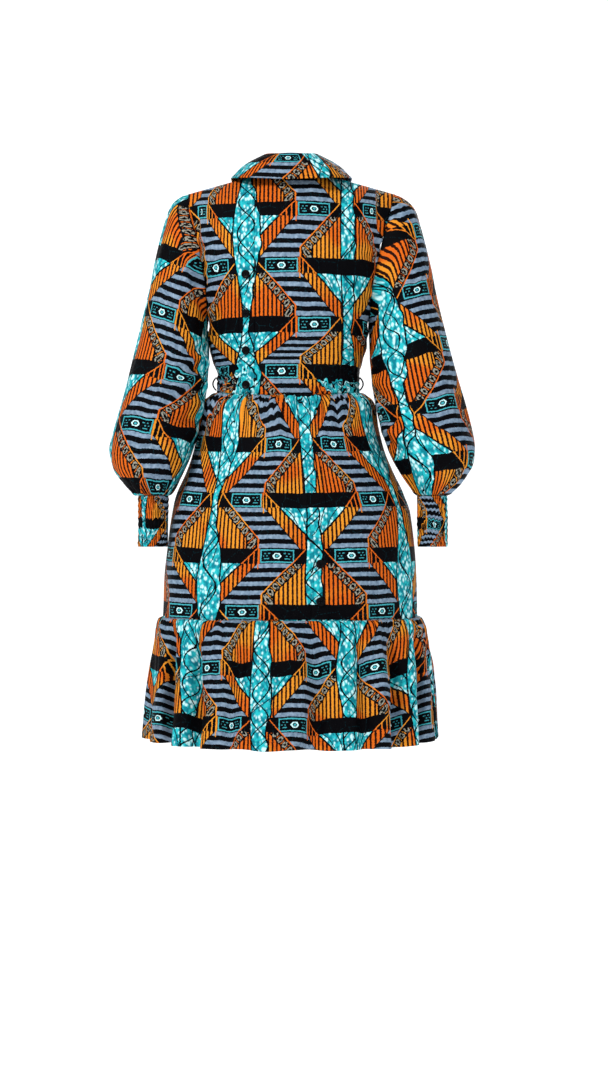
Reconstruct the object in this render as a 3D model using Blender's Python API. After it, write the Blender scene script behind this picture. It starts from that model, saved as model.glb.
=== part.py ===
"""A knee-length dress of wax-printed cotton, in the hollow form that it has when it is worn.

Metres, +Z up. The front of the dress faces -Y, its back faces +Y, and +X is the wearer's left. The
origin is the middle of the neck at the height of the shoulder points, where the wearer holds it up.
Every piece of cloth is a grid laid on a surface that the tables below describe, with a wall of CLOTH.
"""

import math
from collections import namedtuple

import bmesh
import bpy
from mathutils import Vector

# Cloth and seams.
CLOTH = 0.0012
SEAM = 0.0003
HALF = CLOTH / 2

# Shoulder line and neckline, as distances from the middle and heights.
NECK_HALF = 0.064
NECK_HEIGHT = 0.006
SHOULDER_HALF = 0.180
SHOULDER_HEIGHT = -0.026
SHOULDER_ROUND = 0.075
NECK_RISE = 1.3
BACK_NECK_DROP = 0.018
FRONT_NECK_DROP = 0.058

# Seams that run round the dress.
UNDERARM_SHARE = 0.661
WAIST_HEIGHT = -0.374
WAIST_DIP = 0.010
TIER_HEIGHT = -0.763
HEM_HEIGHT = -0.973
SQUARENESS = 2.3
SIDE_SEAM_ANGLE = 0.03

# Rows and columns of the grids.
ARM_ROWS = 10
SIDE_ROWS = 4
BODICE_ROWS = ARM_ROWS + SIDE_ROWS
NECK_COLUMNS = 8
SIDE_COLUMNS = 5
SKIRT_ROWS = 8
FLOUNCE_ROWS = 4
CUFF_ROWS = 3
CUFF_COLUMNS = 20

# Button stands: where they run, and how wide they are.
BODICE_STAND_X = 0.0755
SKIRT_STAND_ANGLE = -10.5
STAND_WIDTH = 0.025
STAND_END = 0.99
STAND_LIFT = CLOTH + 2 * SEAM
BUTTON_RADIUS = 0.0074
BUTTON_THICK = 0.0026
BUTTON_RIM = 0.0008
BODICE_BUTTON_HEIGHTS = (-0.181, -0.246, -0.307, -0.366)
SKIRT_BUTTON_HEIGHTS = (-0.668, -0.731)

# Thread loops at the waist.
LOOP_RADIUS = 0.0008
LOOP_STAND_OFF = 0.006
LOOP_TOP = -0.346
LOOP_BOTTOM = -0.368

# Right and left sleeves hang a little unevenly about the middle of the dress.
SLEEVE_SHIFT = -0.0027

# How the dress is cut at each height: the middle, the half width to the side seam or armhole, how far
# the body's own oval passes that edge, and how deep the back and the front are.
Section = namedtuple("Section", "height centre half_width reach back front")
BODICE = (
    Section(0.006, 0.000, 0.180, 1.10, 0.057, 0.058),
    Section(-0.014, 0.000, 0.180, 1.10, 0.064, 0.061),
    Section(-0.045, 0.001, 0.176, 1.10, 0.084, 0.070),
    Section(-0.080, 0.001, 0.167, 1.10, 0.098, 0.084),
    Section(-0.120, 0.002, 0.156, 1.10, 0.107, 0.103),
    Section(-0.157, 0.003, 0.149, 1.09, 0.110, 0.116),
    Section(-0.195, 0.004, 0.142, 1.07, 0.110, 0.122),
    Section(-0.230, 0.005, 0.1395, 1.03, 0.107, 0.120),
    Section(-0.260, 0.006, 0.1385, 1.00, 0.102, 0.114),
    Section(-0.290, 0.006, 0.1350, 1.00, 0.096, 0.103),
    Section(-0.320, 0.006, 0.1270, 1.00, 0.091, 0.093),
    Section(-0.342, 0.006, 0.1240, 1.00, 0.089, 0.089),
    Section(-0.360, 0.006, 0.1240, 1.00, 0.090, 0.088),
    Section(-0.390, 0.006, 0.1260, 1.00, 0.091, 0.088),
)
SKIRT = (
    Section(-0.374, 0.006, 0.1260, 1.00, 0.091, 0.088),
    Section(-0.382, 0.006, 0.1335, 1.00, 0.100, 0.094),
    Section(-0.390, 0.006, 0.1425, 1.00, 0.108, 0.100),
    Section(-0.404, 0.006, 0.1488, 1.00, 0.117, 0.106),
    Section(-0.430, 0.005, 0.1530, 1.00, 0.128, 0.112),
    Section(-0.472, 0.004, 0.1640, 1.00, 0.141, 0.119),
    Section(-0.512, 0.003, 0.1800, 1.00, 0.150, 0.127),
    Section(-0.551, 0.003, 0.1985, 1.00, 0.157, 0.134),
    Section(-0.583, 0.001, 0.2083, 1.00, 0.162, 0.140),
    Section(-0.644, 0.001, 0.2164, 1.00, 0.170, 0.149),
    Section(-0.700, 0.002, 0.2213, 1.00, 0.176, 0.156),
    Section(-0.763, 0.002, 0.2238, 1.00, 0.181, 0.162),
)
FLOUNCE = (
    Section(-0.763, 0.002, 0.2245, 1.00, 0.182, 0.163),
    Section(-0.775, 0.001, 0.2300, 1.00, 0.188, 0.168),
    Section(-0.812, 0.000, 0.2384, 1.00, 0.196, 0.176),
    Section(-0.861, -0.001, 0.2475, 1.00, 0.204, 0.184),
    Section(-0.973, 0.000, 0.2594, 1.00, 0.214, 0.196),
)

# Folds: the place round the dress in degrees (0 at the middle of the back, + to the wearer's left), the
# half width in degrees and how deep the fold is at the bottom edge. A minus depth is a ridge.
Fold = namedtuple("Fold", "angle width depth")
SKIRT_FOLDS = (
    Fold(-128, 12, 0.007),
    Fold(-84, 10, 0.004),
    Fold(-48, 12, 0.005),
    Fold(-28, 10, -0.004),
    Fold(18, 12, 0.004),
    Fold(44, 12, 0.006),
    Fold(80, 10, 0.005),
    Fold(118, 11, 0.007),
    Fold(158, 12, 0.006),
    Fold(-165, 12, 0.007),
)
FLOUNCE_FOLDS = (
    Fold(-167, 7, 0.014),
    Fold(-146, 6, 0.011),
    Fold(-124, 7, 0.016),
    Fold(-101, 6, 0.012),
    Fold(-80, 6, 0.013),
    Fold(-62, 6, 0.020),
    Fold(-43, 6, 0.013),
    Fold(-25, 7, 0.009),
    Fold(-5, 7, 0.013),
    Fold(20, 8, 0.009),
    Fold(39, 6, 0.016),
    Fold(56, 6, 0.022),
    Fold(76, 6, 0.012),
    Fold(97, 7, 0.013),
    Fold(119, 6, 0.015),
    Fold(141, 7, 0.011),
    Fold(163, 6, 0.014),
)

# Rings down a sleeve: the outer and the inner point of each, the place of its middle from front to
# back, and half its depth.
Ring = namedtuple("Ring", "outer outer_height inner inner_height middle half_depth")
SLEEVE = (
    Ring(0.2080, -0.045, 0.1410, -0.263, 0.002, 0.062),
    Ring(0.2225, -0.080, 0.1410, -0.266, 0.003, 0.066),
    Ring(0.2395, -0.149, 0.1405, -0.274, 0.005, 0.068),
    Ring(0.2490, -0.192, 0.1400, -0.287, 0.009, 0.069),
    Ring(0.2686, -0.280, 0.1405, -0.322, 0.020, 0.071),
    Ring(0.2860, -0.352, 0.1450, -0.378, 0.036, 0.073),
    Ring(0.2995, -0.414, 0.1555, -0.434, 0.050, 0.074),
    Ring(0.3085, -0.455, 0.1660, -0.470, 0.057, 0.073),
    Ring(0.3118, -0.480, 0.1750, -0.492, 0.059, 0.069),
    Ring(0.3075, -0.504, 0.1850, -0.511, 0.060, 0.062),
    Ring(0.2966, -0.522, 0.1945, -0.526, 0.060, 0.052),
    Ring(0.2787, -0.540, 0.2055, -0.542, 0.060, 0.040),
    Ring(0.2655, -0.5535, 0.2125, -0.5535, 0.060, 0.031),
)
CUFF = (
    Ring(0.2645, -0.5550, 0.2135, -0.5550, 0.060, 0.031),
    Ring(0.2650, -0.6405, 0.2145, -0.6405, 0.060, 0.030),
)

# The collar at places round the neck (0 at the middle of the back): its fold, and its outer edge.
Leaf = namedtuple("Leaf", "angle fold_x fold_y fold_z edge_x edge_y edge_z")
COLLAR = (
    Leaf(0, 0.000, 0.053, 0.034, 0.000, 0.088, -0.016),
    Leaf(30, 0.026, 0.047, 0.036, 0.054, 0.078, -0.012),
    Leaf(60, 0.045, 0.028, 0.039, 0.090, 0.050, -0.006),
    Leaf(90, 0.052, 0.000, 0.040, 0.105, 0.004, 0.001),
    Leaf(120, 0.046, -0.030, 0.028, 0.095, -0.050, -0.016),
    Leaf(150, 0.027, -0.052, 0.000, 0.074, -0.090, -0.054),
    Leaf(172, 0.006, -0.062, -0.024, 0.050, -0.116, -0.096),
)
COLLAR_ROLL = 0.005
STAND_INSET = 0.0022
STAND_DROP = 0.0020
BAND_CLEAR = 0.0016

# Colour of each piece, and how rough it is.
PRINT_ORANGE = (0.62, 0.23, 0.04)
PRINT_TEAL = (0.04, 0.36, 0.42)
PRINT_INDIGO = (0.16, 0.18, 0.30)
BUTTON_BLACK = (0.012, 0.012, 0.016)
THREAD_BLACK = (0.02, 0.02, 0.025)


def read(table, place):
    """The row that a table has at any place, on a curve that never passes its own rows."""
    rows = sorted(table)
    if place <= rows[0][0]:
        return rows[0]
    if place >= rows[-1][0]:
        return rows[-1]
    after = next(index for index, row in enumerate(rows) if row[0] > place)
    low, high = rows[after - 1], rows[after]
    span = high[0] - low[0]
    share = (place - low[0]) / span
    values = [place]
    for column in range(1, len(low)):
        slope = (high[column] - low[column]) / span
        start, end = slope, slope
        if after >= 2:
            start = easy_slope(rows[after - 2], low, column, slope)
        if after + 1 < len(rows):
            end = easy_slope(high, rows[after + 1], column, slope)
        values.append(hermite(low[column], high[column], start * span, end * span, share))
    return type(low)(*values)


def easy_slope(low, high, column, slope):
    """The slope at a row between two stretches: none at a peak, else between the two slopes."""
    other = (high[column] - low[column]) / (high[0] - low[0])
    if other * slope <= 0:
        return 0.0
    return 2 * other * slope / (other + slope)


def hermite(start, end, start_slope, end_slope, share):
    square, cube = share**2, share**3
    return (
        (2 * cube - 3 * square + 1) * start
        + (cube - 2 * square + share) * start_slope
        + (3 * square - 2 * cube) * end
        + (cube - square) * end_slope
    )


def mix(start, end, share):
    return start + (end - start) * share


def oval(share):
    """How deep a section is, as a share of its greatest depth, at a share of its half width."""
    return max(0.0, 1 - abs(share) ** SQUARENESS) ** (1 / SQUARENESS)


def shoulder_line(x):
    """Height of the top of the shoulder, and of the neck's side inside it."""
    if abs(x) < NECK_HALF:
        return NECK_HEIGHT + (NECK_HALF - abs(x)) * NECK_RISE
    share = (abs(x) - NECK_HALF) / (SHOULDER_HALF - NECK_HALF)
    return mix(NECK_HEIGHT, SHOULDER_HEIGHT, share)


def top_edge(across, side):
    """Height of a bodice panel's top edge, from armhole (-1) to armhole (1), at the neck or shoulder."""
    neck = NECK_HALF / SHOULDER_HALF
    if abs(across) >= neck:
        return shoulder_line(across * SHOULDER_HALF)
    drop = BACK_NECK_DROP if side > 0 else FRONT_NECK_DROP
    return NECK_HEIGHT - drop * (1 - (across / neck) ** 2)


def torso_depth(x, height, side):
    """Y of the bodice at a place: side is 1 for the back and -1 for the front."""
    section = read(BODICE, height)
    deep = section.back if side > 0 else section.front
    full = deep * oval((x - section.centre) / (section.half_width * section.reach))
    below = min(1.0, max(0.0, (shoulder_line(x) - height) / SHOULDER_ROUND))
    return side * full * math.sqrt(1 - (1 - below) ** 2)


def waist_height(across, side):
    return WAIST_HEIGHT - WAIST_DIP * (1 - across**2) * (side > 0)


def down_share(down):
    """How far down the bodice a row lies: rows close up towards the shoulder and the underarm."""
    arm = ARM_ROWS / BODICE_ROWS
    if down <= arm:
        return UNDERARM_SHARE * (1 - math.cos(math.pi * down / arm)) / 2
    return mix(UNDERARM_SHARE, 1, (down - arm) / (1 - arm))


def row_height(across, down, side):
    top = top_edge(across, side)
    return mix(top, waist_height(across, side) + SEAM, down_share(down))


def torso_point(across, down, side):
    """A point of the bodice at a share of its half width, and a share of the way down."""
    height = row_height(across, down, side)
    section = read(BODICE, height)
    x = section.centre + across * section.half_width
    return Vector((x, torso_depth(x, height, side) + side * SEAM, height))


def back_point(edge, under, out, down):
    """A point of a back panel that ends at edge -1 or 1: under is its share of the way across the half
    of the button stand that lies on it, and out its share of the way from there to its armhole or side."""
    inner_x = BODICE_STAND_X + edge * under * STAND_WIDTH / 2
    height = row_height(mix(inner_x / SHOULDER_HALF, edge, out), down, 1)
    section = read(BODICE, height)
    x = mix(inner_x, section.centre + edge * section.half_width, out)
    return Vector((x, torso_depth(x, height, 1) + SEAM, height))


def fold_depth(folds, angle):
    """How far in the cloth lies at an angle, as the sum of its folds."""
    total = 0.0
    for fold in folds:
        away = (angle - fold.angle + 180) % 360 - 180
        total += fold.depth * math.exp(-((away / fold.width) ** 2))
    return total


def skirt_point(table, folds, angle, height):
    """A point of the skirt or the flounce, at an angle round it and a nominal height."""
    section = read(table, height)
    turn = math.radians(angle)
    wide, deep = math.sin(turn), math.cos(turn)
    half_depth = section.back if deep > 0 else section.front
    power = 2 / SQUARENESS
    x = section.centre + section.half_width * math.copysign(abs(wide) ** power, wide)
    y = half_depth * math.copysign(abs(deep) ** power, deep)
    top, bottom = table[0].height, table[-1].height
    share = (height - top) / (bottom - top)
    inward = fold_depth(folds, angle) * share
    if table is FLOUNCE:
        inward += fold_depth(SKIRT_FOLDS, angle) * (1 - share)
    dip = WAIST_DIP * max(0.0, deep) ** 2 * (1 - share) if table is SKIRT else 0.0
    out = Vector((wide * half_depth, deep * section.half_width, 0)).normalized()
    return Vector((x, y, height - dip)) - out * inward


def armhole_point(turn, side_x):
    """A point of the bodice's armhole: turn 0 at the shoulder, pi at the underarm, by way of the back."""
    side = 1 if turn <= math.pi else -1
    turn = min(turn, 2 * math.pi - turn)
    return torso_point(side_x, ARM_ROWS / BODICE_ROWS * turn / math.pi, side)


def ring_point(ring, turn, side_x, inner_shift):
    """A point of a sleeve's ring: turn 0 on its outer side, pi on its inner side, by way of the back."""
    outer = Vector((side_x * ring.outer + SLEEVE_SHIFT, ring.middle, ring.outer_height))
    inner = Vector((side_x * ring.inner + inner_shift, ring.middle, ring.inner_height))
    point = (outer + inner) / 2 + (outer - inner) / 2 * math.cos(turn)
    point.y += ring.half_depth * math.sin(turn)
    return point


def sleeve_ring(row, turn, side_x):
    """A point of a sleeve: row 0 is its seam at the armhole, and the others are the rings of SLEEVE."""
    if row == 0:
        point = armhole_point(turn, side_x)
        off = 0.0011 + 0.0006 * (1 - math.cos(turn)) + 0.0006 * math.sin(turn) ** 2
        return point + Vector((side_x * off, 0, 0))
    ring = SLEEVE[row - 1]
    centre = read(BODICE, max(ring.inner_height, WAIST_HEIGHT)).centre
    fade = 1 - (row - 1) / (len(SLEEVE) - 1)
    return ring_point(ring, turn, side_x, mix(SLEEVE_SHIFT, centre, fade))


def material(name, colour, rough):
    made = bpy.data.materials.new(name)
    made.use_nodes = True
    shader = made.node_tree.nodes["Principled BSDF"]
    shader.inputs["Base Color"].default_value = (*colour, 1)
    shader.inputs["Roughness"].default_value = rough
    shader.inputs["Metallic"].default_value = 0
    return made


def object_of(name, bm, colour, rough):
    mesh = bpy.data.meshes.new(name)
    bm.to_mesh(mesh)
    bm.free()
    made = bpy.data.objects.new(name, mesh)
    made.data.materials.append(material(name, colour, rough))
    bpy.context.scene.collection.objects.link(made)
    return made


def cloth(name, columns, rows, place, colour, closed=False):
    """A panel of cloth: a grid with each point at place(across, down), both from 0 to 1."""
    bm = bmesh.new()
    bmesh.ops.create_grid(bm, x_segments=columns, y_segments=rows, size=0.5)
    for vert in bm.verts:
        vert.co = place(vert.co.x + 0.5, vert.co.y + 0.5)
    if closed:
        bmesh.ops.remove_doubles(bm, verts=bm.verts, dist=1e-5)
    made = object_of(name, bm, colour, 0.8)
    wall = made.modifiers.new("wall", "SOLIDIFY")
    wall.thickness = CLOTH
    wall.offset = 0
    made.data.shade_smooth()
    return made


def neck_to_side(share, start, neck_columns, side_columns):
    """Place of a column on a bodice panel, from start to 1: even as far as the end of the neckline, and
    then closing up towards the side, where the panel turns most."""
    neck_end = NECK_HALF / SHOULDER_HALF
    column = share * (neck_columns + side_columns)
    if column <= neck_columns:
        return mix(start, neck_end, column / neck_columns)
    turn = (column - neck_columns) / side_columns * math.pi / 2
    return mix(neck_end, 1, math.sin(turn))


def bodice():
    def front(across, down):
        away = neck_to_side(abs(2 * across - 1), 0, NECK_COLUMNS // 2, SIDE_COLUMNS)
        return torso_point(math.copysign(away, across - 0.5), down, -1)

    def back_left(across, down):
        under, out = stand_columns(across, 1 + SIDE_COLUMNS)
        point = back_point(1, under, math.sin(out * math.pi / 2), down)
        return point + Vector((SEAM / 2, 0, 0))

    def back_right(across, down):
        under, share = stand_columns(across, 1 + NECK_COLUMNS + SIDE_COLUMNS)
        start = (STAND_WIDTH / 2 - BODICE_STAND_X) / SHOULDER_HALF
        away = neck_to_side(share, start, NECK_COLUMNS, SIDE_COLUMNS)
        point = back_point(-1, under, (away - start) / (1 - start), down)
        return point - Vector((SEAM / 2, 0, 0))

    right_columns = 1 + NECK_COLUMNS + SIDE_COLUMNS
    cloth("bodice_front", NECK_COLUMNS + 2 * SIDE_COLUMNS, BODICE_ROWS, front, PRINT_TEAL)
    cloth("bodice_back_left", 1 + SIDE_COLUMNS, BODICE_ROWS, back_left, PRINT_ORANGE)
    cloth("bodice_back_right", right_columns, BODICE_ROWS, back_right, PRINT_ORANGE)


def stand_columns(across, columns):
    """The first column of a panel lies under half of its button stand, and the others beyond it."""
    column = across * columns
    return min(1.0, column), max(0.0, (column - 1) / (columns - 1))


def stand_surface(across, down):
    """The outside of the bodice's button stand at a place from -1 to 1 over it, and the way it faces."""
    edge = math.copysign(1, across)
    point = back_point(edge, abs(across), 0, down)
    x, height = point.x, point.z
    beside = torso_depth(x + 0.004, height, 1) - torso_depth(x - 0.004, height, 1)
    above = torso_depth(x, height + 0.004, 1) - torso_depth(x, height - 0.004, 1)
    facing = Vector((-beside / 0.008, 1, -above / 0.008)).normalized()
    return point + facing * STAND_LIFT, facing


def bodice_stand():
    first = 1 / BODICE_ROWS

    def strip(across, down):
        return stand_surface(2 * across - 1, mix(first, STAND_END, down))[0]

    cloth("bodice_button_stand", 2, BODICE_ROWS - 1, strip, PRINT_TEAL)


def skirt_height(down):
    return mix(WAIST_HEIGHT - 0.0008, TIER_HEIGHT + SEAM, down**2)


def stand_angle(across, height):
    """Angle of a place from -1 to 1 over the skirt's button stand, whose edges run side by side."""
    half_turn = math.degrees(STAND_WIDTH / 2 / read(SKIRT, height).half_width)
    return SKIRT_STAND_ANGLE + across * half_turn


def skirt():
    def back(edge, columns):
        def place(across, down):
            height = skirt_height(down)
            under, out = stand_columns(across, columns)
            angle = mix(stand_angle(edge * under, height), edge * (90 - SIDE_SEAM_ANGLE), out)
            point = skirt_point(SKIRT, SKIRT_FOLDS, angle, height)
            return point + Vector((edge * SEAM / 2, 0, 0))

        return place

    def front(across, down):
        angle = mix(90 + SIDE_SEAM_ANGLE, 270 - SIDE_SEAM_ANGLE, across)
        return skirt_point(SKIRT, SKIRT_FOLDS, angle, skirt_height(down))

    cloth("skirt_back_left", 16, SKIRT_ROWS, back(1, 16), PRINT_ORANGE)
    cloth("skirt_back_right", 13, SKIRT_ROWS, back(-1, 13), PRINT_ORANGE)
    cloth("skirt_front", 26, SKIRT_ROWS, front, PRINT_TEAL)


def skirt_stand_surface(across, height):
    """The outside of the skirt's button stand at a place from -1 to 1 over it, and the way it faces."""
    angle = stand_angle(across, height)
    point = skirt_point(SKIRT, SKIRT_FOLDS, angle, height)
    beside = skirt_point(SKIRT, SKIRT_FOLDS, angle - 1, height) - point
    below = skirt_point(SKIRT, SKIRT_FOLDS, angle, height - 0.004) - point
    facing = below.cross(beside).normalized()
    return point + facing * STAND_LIFT, facing


def skirt_stand():
    def strip(across, down):
        return skirt_stand_surface(2 * across - 1, skirt_height(down))[0]

    cloth("skirt_button_stand", 2, SKIRT_ROWS, strip, PRINT_TEAL)


def flounce():
    def panel(first, last):
        def place(across, down):
            angle = mix(first, last, across)
            height = mix(TIER_HEIGHT - 0.0008, HEM_HEIGHT, down**1.4)
            return skirt_point(FLOUNCE, FLOUNCE_FOLDS, angle, height)

        return place

    back = panel(-90 + SIDE_SEAM_ANGLE, 90 - SIDE_SEAM_ANGLE)
    front = panel(90 + SIDE_SEAM_ANGLE, 270 - SIDE_SEAM_ANGLE)
    cloth("flounce_back", 50, FLOUNCE_ROWS, back, PRINT_INDIGO)
    cloth("flounce_front", 44, FLOUNCE_ROWS, front, PRINT_INDIGO)


def sleeve(name, side_x):
    columns = 2 * ARM_ROWS
    rows = len(SLEEVE)

    def place(around, down):
        return sleeve_ring(round(down * rows), around * 2 * math.pi, side_x)

    cloth(name, columns, rows, place, PRINT_ORANGE, closed=True)


def cuff(name, side_x):
    def place(around, down):
        top, bottom = CUFF
        turn = around * 2 * math.pi
        start = ring_point(top, turn, side_x, SLEEVE_SHIFT)
        end = ring_point(bottom, turn, side_x, SLEEVE_SHIFT)
        return start.lerp(end, down)

    cloth(name, CUFF_COLUMNS, CUFF_ROWS, place, PRINT_TEAL, closed=True)


def collar_line(around):
    """The collar's fold and its outer edge at a place from -1 to 1 round the neck."""
    side_x = math.copysign(1, around)
    leaf = read(COLLAR, abs(around) * COLLAR[-1].angle)
    fold = Vector((side_x * leaf.fold_x, leaf.fold_y, leaf.fold_z))
    edge = Vector((side_x * leaf.edge_x, leaf.edge_y, leaf.edge_z))
    return fold, edge


def collar_point(around, down):
    fold, edge = collar_line(around)
    point = fold.lerp(edge, down)
    out = Vector((point.x, point.y, 0)).normalized() + Vector((0, 0, 1))
    point += out.normalized() * COLLAR_ROLL * math.sin(math.pi * down)
    side = 1 if point.y > 0 else -1
    clear = abs(torso_depth(point.x, point.z, side)) + 4 * CLOTH
    if point.z < shoulder_line(point.x) and abs(point.y) < clear:
        point.y = side * clear
    return point


def neck_point(around):
    """The neckline of the bodice, from the middle of the front by the back to the front again."""
    turn = around * math.radians(COLLAR[-1].angle)
    side = 1 if math.cos(turn) > 0 else -1
    across = math.sin(turn) * NECK_HALF / SHOULDER_HALF
    return torso_point(across, 0, side)


def collar():
    def leaf(across, down):
        return collar_point(2 * across - 1, down)

    def band(across, down):
        around = 2 * across - 1
        neck = neck_point(around)
        fold = collar_line(around)[0]
        inward = Vector((fold.x, fold.y, 0)).normalized()
        top = fold - inward * STAND_INSET - Vector((0, 0, STAND_DROP))
        bottom = neck + (top - neck).normalized() * BAND_CLEAR
        return bottom.lerp(top, down)

    cloth("collar_leaf", 28, 4, leaf, PRINT_TEAL)
    cloth("collar_band", 28, 2, band, PRINT_INDIGO)


def button(name, centre, facing):
    """A flat round button with a softened rim, facing away from the cloth under it."""
    bm = bmesh.new()
    bmesh.ops.create_cone(
        bm, cap_ends=True, segments=20, radius1=BUTTON_RADIUS, radius2=BUTTON_RADIUS, depth=BUTTON_THICK
    )
    rims = [edge for edge in bm.edges if abs(edge.calc_face_angle()) > 1]
    bmesh.ops.bevel(bm, geom=rims, offset=BUTTON_RIM, segments=1, profile=0.5, affect="EDGES")
    made = object_of(name, bm, BUTTON_BLACK, 0.3)
    made.location = centre + facing * (HALF + SEAM + 0.0002 + BUTTON_THICK / 2)
    made.rotation_euler = facing.to_track_quat("Z", "Y").to_euler()


def buttons():
    for number, height in enumerate(BODICE_BUTTON_HEIGHTS, 1):
        button(f"bodice_button_{number}", *stand_surface(0, down_at(height)))
    for number, height in enumerate(SKIRT_BUTTON_HEIGHTS, 1):
        button(f"skirt_button_{number}", *skirt_stand_surface(0, height))


def down_at(height):
    """The share of the way down the button stand that lies at a height, by halving."""
    low, high = 0.0, 1.0
    for _ in range(30):
        middle = (low + high) / 2
        if row_height(BODICE_STAND_X / SHOULDER_HALF, middle, 1) > height:
            low = middle
        else:
            high = middle
    return low


def thread_loop(name, side_x):
    """A chain of thread that would carry a belt, standing off the side seam."""
    curve = bpy.data.curves.new(name, "CURVE")
    curve.dimensions = "3D"
    curve.bevel_depth = LOOP_RADIUS
    curve.bevel_resolution = 2
    curve.use_fill_caps = True
    spline = curve.splines.new("POLY")
    steps = 12
    spline.points.add(steps)
    for index, point in enumerate(spline.points):
        share = index / steps
        height = mix(LOOP_TOP, LOOP_BOTTOM, share)
        section = read(BODICE, height)
        off = HALF + LOOP_RADIUS + 2 * SEAM + LOOP_STAND_OFF * math.sin(math.pi * share) ** 0.8
        point.co = (section.centre + side_x * (section.half_width + off), 0, height, 1)
    made = bpy.data.objects.new(name, curve)
    made.data.materials.append(material(name, THREAD_BLACK, 0.7))
    bpy.context.scene.collection.objects.link(made)


def main():
    for old in list(bpy.data.objects):
        bpy.data.objects.remove(old)
    bodice()
    bodice_stand()
    collar()
    for name, side_x in (("left", 1), ("right", -1)):
        sleeve(f"sleeve_{name}", side_x)
        cuff(f"cuff_{name}", side_x)
        thread_loop(f"belt_loop_{name}", side_x)
    skirt()
    skirt_stand()
    flounce()
    buttons()


main()
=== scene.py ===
"""Cloth, print, stitching and trimmings of a wax-print dress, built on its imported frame.

Metres, +Z up. The front of the dress faces -Y, its buttoned back faces +Y, and +X is the wearer's left.
Every piece of cloth is a grid laid on the surfaces of the cut, with gathers and creases raised on it. Its
UV map "cloth" holds places on the flat cloth in metres, which is where the print is drawn.
"""

import math
from collections import namedtuple

import bmesh
import bpy
from mathutils import Matrix, Vector, noise


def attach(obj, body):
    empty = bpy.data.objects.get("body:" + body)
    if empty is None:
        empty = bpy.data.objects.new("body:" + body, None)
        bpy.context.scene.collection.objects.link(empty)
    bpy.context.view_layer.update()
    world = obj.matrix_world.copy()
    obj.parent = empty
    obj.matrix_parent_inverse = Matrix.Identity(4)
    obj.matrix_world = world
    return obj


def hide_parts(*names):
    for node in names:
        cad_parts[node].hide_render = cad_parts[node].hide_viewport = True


bl_info = {
    "name": "Wax-Print Dress",
    "version": (1, 0, 0),
    "blender": (4, 5, 0),
    "location": "3D View > Sidebar > Dress",
    "description": "Makes the cloth, print, buttons and stitching of a worn dress on its fixed frame",
    "category": "Object",
}

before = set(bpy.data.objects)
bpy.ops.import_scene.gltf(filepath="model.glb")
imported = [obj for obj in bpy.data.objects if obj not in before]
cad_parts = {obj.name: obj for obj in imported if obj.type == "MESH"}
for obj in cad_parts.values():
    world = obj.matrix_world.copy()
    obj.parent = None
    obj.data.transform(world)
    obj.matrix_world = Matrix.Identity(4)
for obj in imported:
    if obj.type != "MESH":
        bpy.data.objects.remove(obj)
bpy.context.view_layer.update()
BODY = "root"
UV_MAP = "cloth"

# The cut. These sizes are those of the frame's own solids.
SEAM = 0.0003
NECK_HALF = 0.064
NECK_HEIGHT = 0.006
SHOULDER_HALF = 0.180
SHOULDER_HEIGHT = -0.026
SHOULDER_ROUND = 0.075
NECK_RISE = 1.3
BACK_NECK_DROP = 0.018
FRONT_NECK_DROP = 0.058
UNDERARM_SHARE = 0.661
WAIST_HEIGHT = -0.374
WAIST_DIP = 0.010
TIER_HEIGHT = -0.763
HEM_HEIGHT = -0.973
SQUARENESS = 2.3
BODICE_STAND_X = 0.0755
SKIRT_STAND_ANGLE = -10.5
STAND_WIDTH = 0.025
STAND_END = 0.99
BODICE_BUTTON_HEIGHTS = (-0.181, -0.246, -0.307, -0.366)
SKIRT_BUTTON_HEIGHTS = (-0.668, -0.731)
LOOP_TOP = -0.346
LOOP_BOTTOM = -0.368
LOOP_STAND_OFF = 0.006
LOOP_RADIUS = 0.0008
SLEEVE_SHIFT = -0.0027
ARM_SHARE = 10 / 14

Section = namedtuple("Section", "height centre half_width reach back front")
BODICE = (
    Section(0.006, 0.000, 0.180, 1.10, 0.057, 0.058),
    Section(-0.014, 0.000, 0.180, 1.10, 0.064, 0.061),
    Section(-0.045, 0.001, 0.176, 1.10, 0.084, 0.070),
    Section(-0.080, 0.001, 0.167, 1.10, 0.098, 0.084),
    Section(-0.120, 0.002, 0.156, 1.10, 0.107, 0.103),
    Section(-0.157, 0.003, 0.149, 1.09, 0.110, 0.116),
    Section(-0.195, 0.004, 0.142, 1.07, 0.110, 0.122),
    Section(-0.230, 0.005, 0.1395, 1.03, 0.107, 0.120),
    Section(-0.260, 0.006, 0.1385, 1.00, 0.102, 0.114),
    Section(-0.290, 0.006, 0.1350, 1.00, 0.096, 0.103),
    Section(-0.320, 0.006, 0.1270, 1.00, 0.091, 0.093),
    Section(-0.342, 0.006, 0.1240, 1.00, 0.089, 0.089),
    Section(-0.360, 0.006, 0.1240, 1.00, 0.090, 0.088),
    Section(-0.390, 0.006, 0.1260, 1.00, 0.091, 0.088),
)
SKIRT = (
    Section(-0.374, 0.006, 0.1260, 1.00, 0.091, 0.088),
    Section(-0.382, 0.006, 0.1335, 1.00, 0.100, 0.094),
    Section(-0.390, 0.006, 0.1425, 1.00, 0.108, 0.100),
    Section(-0.404, 0.006, 0.1488, 1.00, 0.117, 0.106),
    Section(-0.430, 0.005, 0.1530, 1.00, 0.128, 0.112),
    Section(-0.472, 0.004, 0.1640, 1.00, 0.141, 0.119),
    Section(-0.512, 0.003, 0.1800, 1.00, 0.150, 0.127),
    Section(-0.551, 0.003, 0.1985, 1.00, 0.157, 0.134),
    Section(-0.583, 0.001, 0.2083, 1.00, 0.162, 0.140),
    Section(-0.644, 0.001, 0.2164, 1.00, 0.170, 0.149),
    Section(-0.700, 0.002, 0.2213, 1.00, 0.176, 0.156),
    Section(-0.763, 0.002, 0.2238, 1.00, 0.181, 0.162),
)
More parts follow.
